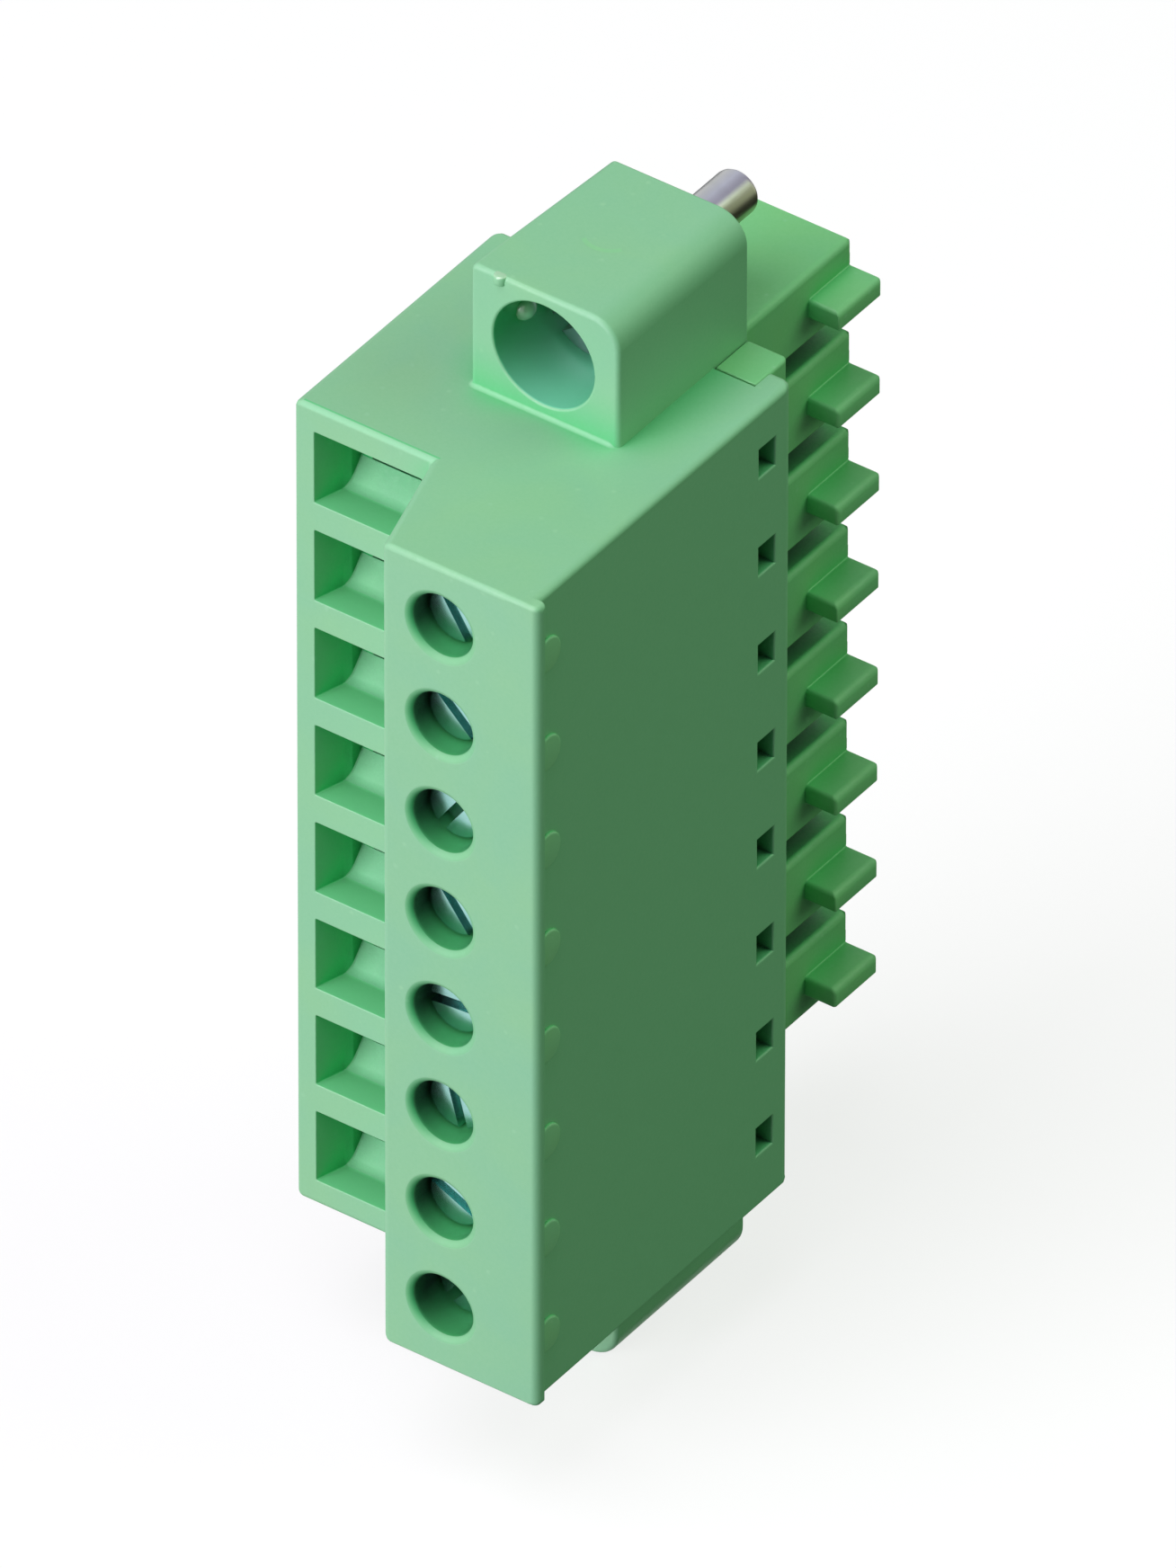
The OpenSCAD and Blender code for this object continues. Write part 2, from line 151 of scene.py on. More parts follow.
def meshFrom(bm):
    bmesh.ops.remove_doubles(bm, verts=bm.verts[:], dist=weld)
    bmesh.ops.recalc_face_normals(bm, faces=bm.faces[:])
    mesh = bpy.data.meshes.new("blank")
    bm.to_mesh(mesh)
    bm.free()
    return mesh


def addInto(bm, own):
    # moves a small bmesh into a bigger one
    mesh = meshFrom(own)
    bm.from_mesh(mesh)
    bpy.data.meshes.remove(mesh)


def blank(bm):
    piece = bpy.data.objects.new("blank", meshFrom(bm))
    scene.collection.objects.link(piece)
    return piece


def settle(piece):
    shaped = bpy.data.meshes.new_from_object(piece.evaluated_get(bpy.context.evaluated_depsgraph_get()))
    piece.modifiers.clear()
    piece.data = shaped
    return piece


def softened(bm, groups, segments=5):
    # every edge has its own radius, and one Bevel modifier makes all the corners together
    bm.edges.index_update()
    groups = [([edge.index for edge in edges], radius) for edges, radius in groups]
    weight = bm.edges.layers.float.new("bevel_weight_edge")  # a new layer drops the edges picked before it
    bm.edges.ensure_lookup_table()
    widest = max(radius for picked, radius in groups)
    for picked, radius in groups:
        for index in picked:
            bm.edges[index][weight] = radius / widest
    piece = blank(bm)
    step = piece.modifiers.new("soften", "BEVEL")
    step.limit_method = "WEIGHT"
    step.width = widest
    step.segments = segments
    step.profile = 0.5
    step.use_clamp_overlap = False
    return settle(piece)


def carve(piece, tool, operation="DIFFERENCE"):
    step = piece.modifiers.new("carve", "BOOLEAN")
    step.operation = operation
    step.solver = "EXACT"
    step.object = tool
    settle(piece)
    bpy.data.objects.remove(tool)


def handOver(piece, name, body, finishes, node, paint=None, sharp=33):
    bm = bmesh.new()
    bm.from_mesh(piece.data)
    bmesh.ops.remove_doubles(bm, verts=bm.verts[:], dist=seam)
    bmesh.ops.dissolve_degenerate(bm, dist=sliver, edges=bm.edges[:])
    for face in bm.faces:
        face.material_index = paint(face) if paint else 0
    bmesh.ops.scale(bm, vec=(millimetre,) * 3, verts=bm.verts[:])
    piece.data.materials.clear()
    for finish in finishes:
        piece.data.materials.append(finish)
    bm.to_mesh(piece.data)
    bm.free()
    piece.name = name
    piece.data.name = name
    piece.data.shade_smooth()
    piece.data.set_sharp_from_angle(angle=math.radians(sharp))
    even = piece.modifiers.new("evenShading", "WEIGHTED_NORMAL")
    even.keep_sharp = True
    even.weight = 80
    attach(piece, body)
    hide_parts(node)
    return piece


# shared surface effects
def setInputs(node, values):
    for label, value in values.items():
        node.inputs[label].default_value = value
    return node


def newGroup(name, inputs, outputs):
    group = bpy.data.node_groups.new(name, "ShaderNodeTree")
    for label, kind, value in inputs:
        socket = group.interface.new_socket(label, in_out="INPUT", socket_type=kind)
        if value is not None:
            socket.default_value = value
    for label, kind in outputs:
        group.interface.new_socket(label, in_out="OUTPUT", socket_type=kind)
    return group, group.nodes.new("NodeGroupInput"), group.nodes.new("NodeGroupOutput")


def makeMouldSkin():
    group, start, end = newGroup(
        "mouldSkin",
        [("Vector", "NodeSocketVector", None), ("Flow Scale", "NodeSocketFloat", 260.0),
         ("Grain Scale", "NodeSocketFloat", 9000.0)],
        [("Flow", "NodeSocketFloat"), ("Grain", "NodeSocketFloat"), ("Speck", "NodeSocketFloat")])
    nodes, links = group.nodes, group.links
    flow = setInputs(nodes.new("ShaderNodeTexNoise"), {"Detail": 3.0, "Distortion": 0.6})
    grain = setInputs(nodes.new("ShaderNodeTexNoise"), {"Detail": 2.0})
    speck = nodes.new("ShaderNodeTexVoronoi")
    speckFade = setInputs(nodes.new("ShaderNodeMapRange"),
                          {"From Min": 0.04, "From Max": 0.12, "To Min": 1.0, "To Max": 0.0})
    speckScale = nodes.new("ShaderNodeMath")
    speckScale.operation = "MULTIPLY"
    speckScale.inputs[1].default_value = 4.0
    for noise, scale in ((flow, "Flow Scale"), (grain, "Grain Scale")):
        links.new(start.outputs["Vector"], noise.inputs["Vector"])
        links.new(start.outputs[scale], noise.inputs["Scale"])
    links.new(start.outputs["Vector"], speck.inputs["Vector"])
    links.new(start.outputs["Flow Scale"], speckScale.inputs[0])
    links.new(speckScale.outputs[0], speck.inputs["Scale"])
    links.new(speck.outputs["Distance"], speckFade.inputs["Value"])
    links.new(flow.outputs["Fac"], end.inputs["Flow"])
    links.new(grain.outputs["Fac"], end.inputs["Grain"])
    links.new(speckFade.outputs["Result"], end.inputs["Speck"])
    return group


def makePlateHaze():
    group, start, end = newGroup(
        "plateHaze",
        [("Vector", "NodeSocketVector", None), ("Cloud Scale", "NodeSocketFloat", 900.0),
         ("Scratch Scale", "NodeSocketFloat", 4000.0)],
        [("Cloud", "NodeSocketFloat"), ("Scratch", "NodeSocketFloat")])
    nodes, links = group.nodes, group.links
    cloud = setInputs(nodes.new("ShaderNodeTexNoise"), {"Detail": 4.0})
    stretch = nodes.new("ShaderNodeVectorMath")
    stretch.operation = "MULTIPLY"
    stretch.inputs[1].default_value = (1.0, 0.12, 1.0)
    scratch = setInputs(nodes.new("ShaderNodeTexNoise"), {"Detail": 2.0})
    links.new(start.outputs["Vector"], cloud.inputs["Vector"])
    links.new(start.outputs["Cloud Scale"], cloud.inputs["Scale"])
    links.new(start.outputs["Vector"], stretch.inputs[0])
    links.new(stretch.outputs["Vector"], scratch.inputs["Vector"])
    links.new(start.outputs["Scratch Scale"], scratch.inputs["Scale"])
    links.new(cloud.outputs["Fac"], end.inputs["Cloud"])
    links.new(scratch.outputs["Fac"], end.inputs["Scratch"])
    return group


mouldSkin = makeMouldSkin()
plateHaze = makePlateHaze()


def newFinish(name):
    finish = bpy.data.materials.new(name)
    finish.use_nodes = True
    nodes = finish.node_tree.nodes
    nodes.clear()
    shader = nodes.new("ShaderNodeBsdfPrincipled")
    out = nodes.new("ShaderNodeOutputMaterial")
    finish.node_tree.links.new(shader.outputs["BSDF"], out.inputs["Surface"])
    return finish, nodes, finish.node_tree.links, shader


def remap(nodes, links, source, low, high, fromLow=0.3, fromHigh=0.7):
    node = setInputs(nodes.new("ShaderNodeMapRange"),
                     {"From Min": fromLow, "From Max": fromHigh, "To Min": low, "To Max": high})
    links.new(source, node.inputs["Value"])
    return node.outputs["Result"]


def tint(nodes, links, mask, first, second):
    # first and second are colours, or outputs that give one
    node = nodes.new("ShaderNodeMix")
    node.data_type = "RGBA"
    for label, colour in (("A", first), ("B", second)):
        if isinstance(colour, tuple):
            node.inputs[label].default_value = (*colour, 1.0)
        else:
            links.new(colour, node.inputs[label])
    links.new(mask, node.inputs["Factor"])
    return node.outputs["Result"]


def facingParts(nodes, links):
    # the way the surface faces, as X, Y and Z
    facing = nodes.new("ShaderNodeNewGeometry")
    split = nodes.new("ShaderNodeSeparateXYZ")
    links.new(facing.outputs["Normal"], split.inputs["Vector"])
    return split.outputs


def grainBump(nodes, links, shader, height, look):
    bump = setInputs(nodes.new("ShaderNodeBump"), {"Strength": look["bump"], "Distance": look["bumpDepth"]})
    links.new(height, bump.inputs["Height"])
    links.new(bump.outputs["Normal"], shader.inputs["Normal"])


def plasticFinish(name, look):
    finish, nodes, links, shader = newFinish(name)
    place = nodes.new("ShaderNodeTexCoord")
    skin = nodes.new("ShaderNodeGroup")
    skin.node_tree = mouldSkin
    setInputs(skin, {"Flow Scale": look["flowScale"], "Grain Scale": look["grainScale"]})
    links.new(place.outputs["Object"], skin.inputs["Vector"])
    flow = remap(nodes, links, skin.outputs["Flow"], 0.0, 1.0)
    body = tint(nodes, links, flow, look["cool"], look["warm"])
    body = tint(nodes, links, skin.outputs["Speck"], body, look["speck"])
    shadeNook = nodes.new("ShaderNodeAmbientOcclusion")
    shadeNook.samples = 8
    shadeNook.only_local = True
    shadeNook.inputs["Distance"].default_value = look["shadeReach"]
    for key in ("shadeDeep", "shadeDark"):  # painted shade: hollows, found by ambient occlusion, are painted a deeper green and narrow holes nearly black
        mask = remap(nodes, links, shadeNook.outputs["AO"], 0.0, 1.0, *look[key + "Range"])
        body = tint(nodes, links, mask, look[key], body)
    for way, key in (("Z", "paintedUpwardLight"), ("X", "paintedSidewaysShade")):  # painted light and shade: faces turned up are painted lighter and faces turned sideways a deeper, shaded green
        if key in look:
            start, colour = look[key]
            mask = remap(nodes, links, facingParts(nodes, links)[way], 0.0, 1.0, start, look["facingFull"])
            body = tint(nodes, links, mask, body, colour)
    links.new(body, shader.inputs["Base Color"])
    links.new(remap(nodes, links, skin.outputs["Grain"], *look["roughness"]), shader.inputs["Roughness"])
    grainBump(nodes, links, shader, skin.outputs["Grain"], look)
    setInputs(shader, {"Specular IOR Level": look["specular"], "Coat Weight": look["coat"],
                       "Coat Roughness": look["coatRoughness"]})
    return finish


def filmAndReflectionBands(nodes, links, body, filmReflectionBands):
    # the weak tints of the clear film on the zinc and painted reflections change round the pin together, read off
    # the way the surface faces
    ramp = nodes.new("ShaderNodeValToRGB")
    while len(ramp.color_ramp.elements) < len(filmReflectionBands):
        ramp.color_ramp.elements.new(0.5)
    for stop, (place, colour) in zip(ramp.color_ramp.elements, filmReflectionBands):
        stop.position = place
        stop.color = (*colour, 1.0)
    links.new(remap(nodes, links, facingParts(nodes, links)["X"], 0.0, 1.0, -1.0, 1.0), ramp.inputs["Fac"])
    filmReflectionTint = nodes.new("ShaderNodeMix")
    filmReflectionTint.data_type = "RGBA"
    filmReflectionTint.blend_type = "MULTIPLY"
    filmReflectionTint.inputs["Factor"].default_value = 1.0
    links.new(body, filmReflectionTint.inputs["A"])
    links.new(ramp.outputs["Color"], filmReflectionTint.inputs["B"])
    return filmReflectionTint.outputs["Result"]


def metalFinish(name, look):
    finish, nodes, links, shader = newFinish(name)
    place = nodes.new("ShaderNodeTexCoord")
    haze = nodes.new("ShaderNodeGroup")
    haze.node_tree = plateHaze
    setInputs(haze, {"Cloud Scale": look["cloudScale"], "Scratch Scale": look["scratchScale"]})
    links.new(place.outputs["Object"], haze.inputs["Vector"])
    cloud = remap(nodes, links, haze.outputs["Cloud"], 0.0, 1.0)
    body = tint(nodes, links, cloud, look["dull"], look["bright"])
    if "filmReflectionBands" in look:
        body = filmAndReflectionBands(nodes, links, body, look["filmReflectionBands"])
    links.new(body, shader.inputs["Base Color"])
    links.new(remap(nodes, links, haze.outputs["Scratch"], *look["roughness"]), shader.inputs["Roughness"])
    grainBump(nodes, links, shader, haze.outputs["Scratch"], look)
    shader.inputs["Metallic"].default_value = 1.0
    return finish


# what all the green finishes share, each one changes some of it
# the two darker greens and their ranges in each finish are painted shade that ambient occlusion lays into hollows
mould = {"flowScale": 260.0, "grainScale": 9000.0, "roughness": (0.58, 0.72), "bump": 0.12, "bumpDepth": 0.00002,
         "specular": 0.3, "coat": 0.0, "coatRoughness": 0.22, "shadeReach": 0.003, "facingFull": 0.95,
         "cool": (0.19, 0.5, 0.262), "warm": (0.205, 0.51, 0.25), "speck": (0.24, 0.54, 0.3),
         "shadeDeepRange": (0.42, 0.86), "shadeDarkRange": (0.29, 0.48)}
# painted light and shade: the hole, flare, bore and mouth greens are shaded copies of the housing green and the
# ramp, spot and gate greens are lit copies; faces that point up get painted light and faces that point sideways
# painted shade
greens = {
    "housing": {
        "cool": (0.2, 0.5, 0.278), "warm": (0.217, 0.515, 0.26), "shadeDeep": (0.05, 0.47, 0.15),
        "shadeDark": (0.012, 0.11, 0.045), "specular": 0.9, "coat": 0.12, "paintedSidewaysShade": (0.2, (0.174, 0.498, 0.244))},
    "hole": {
        "shadeDeep": (0.04, 0.44, 0.14), "shadeDeepRange": (0.55, 0.85), "shadeDark": (0.005, 0.034, 0.014),
        "shadeDarkRange": (0.44, 0.7), "paintedUpwardLight": (0.2, (0.042, 0.3, 0.092))},
    "flare": {
        "shadeDeep": (0.1, 0.49, 0.19), "shadeDeepRange": (0.3, 0.62), "shadeDark": (0.012, 0.13, 0.05),
        "shadeDarkRange": (0.16, 0.32), "specular": 0.4, "paintedSidewaysShade": (0.05, (0.035, 0.42, 0.125))},
    "spot": {
        "cool": (0.205, 0.545, 0.272), "warm": (0.22, 0.56, 0.258), "speck": (0.24, 0.58, 0.31),
        "shadeDeep": (0.1, 0.6, 0.2), "shadeDark": (0.02, 0.15, 0.06), "flowScale": 500.0, "roughness": (0.52, 0.64),
        "bump": 0.05, "specular": 0.7, "coat": 0.12},
    "gate": {
        "cool": (0.3, 0.58, 0.35), "warm": (0.32, 0.6, 0.35), "speck": (0.4, 0.64, 0.44),
        "shadeDeep": (0.14, 0.52, 0.22), "shadeDeepRange": (0.15, 0.45), "shadeDark": (0.02, 0.15, 0.06),
        "shadeDarkRange": (0.05, 0.12), "flowScale": 900.0, "grainScale": 5000.0, "roughness": (0.12, 0.22),
        "bump": 0.3, "specular": 1.0, "coat": 0.6, "coatRoughness": 0.1},
    "mouth": {
        "cool": (0.15, 0.52, 0.235), "warm": (0.165, 0.535, 0.22), "speck": (0.18, 0.54, 0.25),
        "shadeDeep": (0.022, 0.56, 0.15), "shadeDeepRange": (0.45, 0.9), "shadeDark": (0.01, 0.13, 0.045),
        "shadeDarkRange": (0.27, 0.46), "paintedUpwardLight": (0.0, (0.13, 0.53, 0.22))},
    "ramp": {
        "cool": (0.225, 0.545, 0.315), "warm": (0.24, 0.56, 0.298), "speck": (0.26, 0.57, 0.33),
        "shadeDeep": (0.12, 0.53, 0.23), "shadeDeepRange": (0.3, 0.72), "shadeDark": (0.012, 0.13, 0.05),
        "shadeDarkRange": (0.2, 0.38), "specular": 0.6},
    "bore": {
        "cool": (0.06, 0.46, 0.18), "warm": (0.068, 0.47, 0.172), "speck": (0.08, 0.48, 0.19),
        "shadeDeep": (0.025, 0.36, 0.1), "shadeDeepRange": (0.35, 0.7), "shadeDark": (0.006, 0.09, 0.032),
        "shadeDarkRange": (0.14, 0.4), "roughness": (0.28, 0.38), "bump": 0.08, "paintedUpwardLight": (0.0, (0.16, 0.6, 0.36))},
    "plug": {
        "cool": (0.15, 0.53, 0.205), "warm": (0.165, 0.545, 0.192), "speck": (0.19, 0.56, 0.24),
        "shadeDeep": (0.05, 0.5, 0.13), "shadeDark": (0.012, 0.12, 0.045), "flowScale": 300.0, "specular": 0.9,
        "coat": 0.12}}
green = {area: plasticFinish(area + "Green", {**mould, **look}) for area, look in greens.items()}

plate = {"cloudScale": 700.0, "scratchScale": 3000.0, "roughness": (0.28, 0.38), "bumpDepth": 0.00001}
metals = {
    # the clamp screws' teal green is partly the zinc's own tint and partly a painted reflection of the green
    # walls round the heads
    "screwZinc": {
        "dull": (0.3, 0.6, 0.56), "bright": (0.4, 0.69, 0.66), "roughness": (0.22, 0.27), "bump": 0.005},
    "pinZinc": {
        "dull": (0.46, 0.48, 0.47), "bright": (0.6, 0.61, 0.62), "bump": 0.08,
        # the tint stops are the clear film's tints and painted reflections round the pin
        "filmReflectionBands": ((0.3, (1.0, 1.0, 1.0)), (0.55, (0.92, 0.92, 1.1)), (0.74, (0.55, 0.5, 0.66)),
                  (0.93, (1.0, 0.98, 0.66)))},
    "clampZinc": {
        "dull": (0.4, 0.41, 0.42), "bright": (0.58, 0.58, 0.57), "cloudScale": 600.0,
        "scratchScale": 3500.0, "roughness": (0.32, 0.44), "bump": 0.05},
    "tinPlate": {
        "dull": (0.6, 0.59, 0.56), "bright": (0.78, 0.77, 0.74), "bump": 0.04}}
metal = {name: metalFinish(name, {**plate, **look}) for name, look in metals.items()}
print("finishes made")

# front housing: plan outline pushed up the row, softened, then flanges added and everything cut
housing = {
    "left": -6.14, "right": 6.14, "side": 5.84, "wall": 5.01, "face": 0.27, "step": -0.96,
    "front": -10.935, "lipBack": -10.485, "wire": -6.675, "seat": 2.065, "sideEnd": 3.065, "rim": 3.915,
    "chamber": -5.16, "flangeRight": 3.44, "endSkin": 0.985,
    "wireCorner": 0.16, "stepRoot": 0.1, "frontCorner": 0.2, "sideCorner": 0.55, "backCorner": 0.45,
    "wireRound": 0.2, "stepRound": 0.3, "frontRound": 0.16, "sideRound": (0.1, 0.26), "endRound": 0.3,
    "backRound": 0.12, "leftRound": 0.28, "lipRoot": 4.9, "lipCorner": 0.28, "lipEnd": 0.24,
    "lipEdge": 0.1, "bumpRadius": 0.64, "bumpY": -10.085, "bumpOut": 0.12, "bumpThick": 0.6, "bumpEdge": 0.08}


def housingBody():
    h = housing
    low, top = row["low"], row["top"]
    front = h["front"] + hair  # just behind the lip bar, so that the bar makes the front edge
    plan = [(h["left"], h["wire"]), (h["step"], h["wire"]), (h["face"], front), (h["side"], front),
            (h["side"], h["sideEnd"]), (h["wall"], h["sideEnd"]), (h["wall"], h["seat"]),
            (h["flangeRight"], h["seat"]), (h["flangeRight"], h["rim"]), (h["left"], h["rim"])]
    bm = bmesh.new()
    pushFace(bm, flatFace(bm, [(x, y, low) for x, y in plan]), (0, 0, top - low))

    def at(p, corner):
        return near(p.x, plan[corner][0]) and near(p.y, plan[corner][1])

    groups = []
    corners = ((0, "wireCorner"), (1, "stepRoot"), (2, "frontCorner"), (4, "sideCorner"), (9, "backCorner"))
    for corner, name in corners:
        groups.append((edgesWhere(bm, lambda p: at(p, corner)), h[name]))
    for z, sideRound in zip((low, top), h["sideRound"]):
        sides = ((0, 1, h["wireRound"]), (1, 2, h["stepRound"]), (2, 3, h["frontRound"]), (3, 4, sideRound),
                 (4, 5, h["endRound"]), (8, 9, h["backRound"]), (9, 0, h["leftRound"]))
        for a, b, radius in sides:
            groups.append((edgesWhere(bm, lambda p: near(p.z, z) and (at(p, a) or at(p, b))), radius))
    return softened(bm, groups)


def housingLip():
    h = housing
    low, top = row["low"] + hair, row["top"] - hair
    bm = bmesh.new()
    slab(bm, (h["lipRoot"], h["front"], low), (h["right"], h["lipBack"], top))
    groups = [(edgesAt(bm, x=h["right"], y=h["front"]), h["lipCorner"]),
              (edgesAt(bm, x=h["right"], y=h["lipBack"]), h["lipEdge"])]
    for z in (low, top):
        groups.append((edgesAt(bm, z=z, y=h["front"]), h["frontRound"]))
        groups.append((edgesAt(bm, z=z, x=h["right"]), h["lipEnd"]))
    return softened(bm, groups)


def sideBumps():
    h = housing
    outer = h["side"] + h["bumpOut"]
    bm = bmesh.new()
    for z in poleHeights:
        made = bmesh.ops.create_cone(bm, cap_ends=True, segments=40, radius1=h["bumpRadius"],
                                     radius2=h["bumpRadius"], depth=h["bumpThick"])["verts"]
        bmesh.ops.rotate(bm, cent=(0, 0, 0), matrix=Matrix.Rotation(math.pi / 2, 3, "Y"), verts=made)
        bmesh.ops.translate(bm, vec=(outer - h["bumpThick"] / 2, h["bumpY"], z), verts=made)
    roundEdges(bm, edgesAt(bm, x=outer), h["bumpEdge"], 4)
    return blank(bm)


# screw flange at each end of the row, side is 1 above and -1 below
flange = {"left": -2.16, "draft": 0.45, "right": 3.44, "front": -2.935, "back": 3.914, "reach": 4.7, "sunk": 0.6,
          "round": 1.1, "leftRound": 0.22, "edge": 0.18, "backEdge": 0.1, "boltX": 0.59, "rise": 2.34,
          "bore": 1.9, "boreFlare": 0.1, "hole": 1.08, "seat": 2.615, "holeEnd": 4.5,
          "nubRadius": 0.42, "nubY": -1.285, "nubOut": 0.02,
          "gate": (-1.08, -2.83), "stubRadius": 0.24, "stubDepth": 0.36, "stubRound": 0.08,
          "pinMark": (0.48, 0.80), "markRings": (0.80, 0.96, 1.05), "markDepth": 0.015, "markClear": 0.2}
skirt = {"wide": 0.15, "lap": 0.01, "tuck": 0.02, "sunk": 0.3, "beyond": 4.3, "end": 3.78, "sweep": 84,
         "steps": 6, "lid": 0.08}


def flangeEnd(side):
    return row["top"] if side > 0 else row["low"]


def flangeBlock(side):
    f = flange
    bm = bmesh.new()
    root, far = flangeEnd(side) - side * f["sunk"], flangeEnd(side) + side * f["reach"]
    face = flatFace(bm, [(f["left"], f["front"], root), (f["right"], f["front"], root),
                         (f["right"], f["front"], far), (f["left"], f["front"], far)])
    roundCorners(bm, [v for v in face.verts if near(v.co.z, far) and near(v.co.x, f["right"])], f["round"], 12)
    roundCorners(bm, [v for v in bm.verts if near(v.co.z, far) and near(v.co.x, f["left"])], f["leftRound"], 5)
    pushFace(bm, bm.faces[:][0], (0, f["back"] - f["front"], 0))
    backLeft = [v for v in bm.verts if near(v.co.y, f["back"]) and v.co.x < f["left"] + f["leftRound"] + hair]
    bmesh.ops.translate(bm, vec=(f["draft"], 0, 0), verts=backLeft)
    bmesh.ops.recalc_face_normals(bm, faces=bm.faces[:])
    for y, radius in ((f["front"], f["edge"]), (f["back"], f["backEdge"])):
        loop = edgesAt(bm, y=y)
        roundEdges(bm, [e for e in loop if not all(near(v.co.z, root) for v in e.verts)], radius)
    return blank(bm)


def flangeSkirt(side):
    # hollow fillet round the foot, inset step by step along a quarter round
    f, s = flange, skirt
    bm = bmesh.new()
    foot = flangeEnd(side)
    left, right, front = f["left"] + s["lap"] - s["wide"], f["right"] - s["tuck"], f["front"] - s["wide"]
    edge = [(left, front), (right, front), (right, s["beyond"]), (left, s["beyond"])]
    flatFace(bm, [(x, y, foot - side * s["sunk"]) for x, y in edge])
    roundCorners(bm, [v for v in bm.verts if v.co.y < 0], s["wide"] + f["edge"], 6)
    face = pushFace(bm, bm.faces[:][0], (0, 0, side * s["sunk"]))
    bmesh.ops.recalc_face_normals(bm, faces=bm.faces[:])
    turns = [math.radians(s["sweep"]) * step / s["steps"] for step in range(s["steps"] + 1)]
    for a, b in zip(turns, turns[1:]):
        inward = s["wide"] * (math.sin(b) - math.sin(a))
        bmesh.ops.inset_region(bm, faces=[face], thickness=inward, use_even_offset=True)
        bmesh.ops.translate(bm, vec=(0, 0, side * s["wide"] * (math.cos(a) - math.cos(b))), verts=face.verts[:])
    bmesh.ops.inset_region(bm, faces=[face], thickness=s["lid"], use_even_offset=True)
    bmesh.ops.bisect_plane(bm, geom=bm.verts[:] + bm.edges[:] + bm.faces[:], plane_co=(0, s["end"], 0),
                           plane_no=(0, 1, 0), clear_outer=True)
    bmesh.ops.holes_fill(bm, edges=[e for e in bm.edges if e.is_boundary])
    return blank(bm)


def flangeBores():
    f = flange
    bm = bmesh.new()
    for side in (1, -1):
        rim = rimProfile(f["bore"], f["front"], f["boreFlare"])
        profile = [(0, rim[0][1]), *rim, (f["bore"], f["seat"]), (f["hole"], f["seat"]),
                   (f["hole"], f["holeEnd"]), (0, f["holeEnd"])]
        turned(bm, profile, (f["boltX"], flangeEnd(side) + side * f["rise"]))
    return blank(bm)


def nubCentres():
    f = flange
    return [(f["boltX"] + across * (f["bore"] + f["nubOut"]), f["nubY"], flangeEnd(side) + side * f["rise"])
            for side in (1, -1) for across in (-1, 1)]


def flangeNubs():
    f = flange
    bm = bmesh.new()
    for centre in nubCentres():
        made = bmesh.ops.create_uvsphere(bm, u_segments=24, v_segments=16, radius=f["nubRadius"])["verts"]
        bmesh.ops.translate(bm, vec=centre, verts=made)
    return blank(bm)


def gateStub():
    # what is left where the mould was filled, a small stub on the front edge that ends level with the top
    f = flange
    bm = bmesh.new()
    made = bmesh.ops.create_cone(bm, cap_ends=True, segments=32, radius1=f["stubRadius"],
                                 radius2=f["stubRadius"], depth=f["stubDepth"])["verts"]
    bmesh.ops.translate(bm, vec=(*f["gate"], row["top"] + f["reach"] - f["stubDepth"] / 2 - hair), verts=made)
    rims = [e for e in bm.edges if near(e.verts[0].co.z, e.verts[1].co.z)]
    roundEdges(bm, rims, f["stubRound"], 3)
    return blank(bm)


def pinMark():
    # shallow round print of a mould pin on the upper flange, a very flat groove
    f = flange
    top = row["top"] + f["reach"]
    x, y = f["pinMark"]
    inner, deepest, outer = f["markRings"]
    bm = bmesh.new()
    ring = flatFace(bm, [(x + inner, y, top), (x + deepest, y, top - f["markDepth"]), (x + outer, y, top),
                         (x + outer, y, top + f["markClear"]), (x + inner, y, top + f["markClear"])])
    edges = ring.edges[:]
    bmesh.ops.delete(bm, geom=[ring], context="FACES_ONLY")
    bmesh.ops.spin(bm, geom=bm.verts[:] + edges, cent=(x, y, 0), axis=(0, 0, 1), angle=math.tau, steps=64,
                   use_merge=True)
    return blank(bm)


# cuts at each pole: screw hole, wire funnel, clamp chamber, latch window
poleCuts = {"screwX": 2.44, "headHole": 1.12, "holeFlare": 0.27, "holeSteps": 56, "ear": -6.785, "earLeft": -0.23,
            "chamberFront": -4.475, "chamberHeight": 2.7, "mouthLeft": -5.39, "mouthRight": -1.31,
            "mouthHeight": 2.74, "mouthCorner": 0.06, "mouthFlare": 0.035, "ramp": -5.4, "rampLeft": -5.01,
            "rampRound": 0.24, "throat": -4.775, "throatLeft": -4.95, "throatStep": 0.02, "throatLow": -0.5,
            "throatHigh": 0.7, "barX": -4.56, "jawX": -2.26, "windowFront": 1.165, "windowWidth": 0.85,
            "windowHeight": 1.1, "windowRise": 0.25, "windowFlare": 0.08, "windowClear": 0.3}


def screwHoles():
    c = poleCuts
    bm = bmesh.new()
    for z in poleHeights:
        rim = rimProfile(c["headHole"], housing["front"], c["holeFlare"], 8)
        profile = [(0, rim[0][1]), *rim, (c["headHole"], c["ear"] + overlap), (0, c["ear"] + overlap)]
        turned(bm, profile, (c["screwX"], z), c["holeSteps"])
    return blank(bm)


def chambers():
    c, h = poleCuts, housing
    half = c["chamberHeight"] / 2
    return blank(poleSlabs((h["chamber"], c["chamberFront"], -half), (h["wall"], h["seat"] + overlap, half)))


def earPockets():
    c, h = poleCuts, housing
    half = c["chamberHeight"] / 2
    return blank(poleSlabs((c["earLeft"], c["ear"], -half), (h["wall"], c["chamberFront"] + overlap, half)))


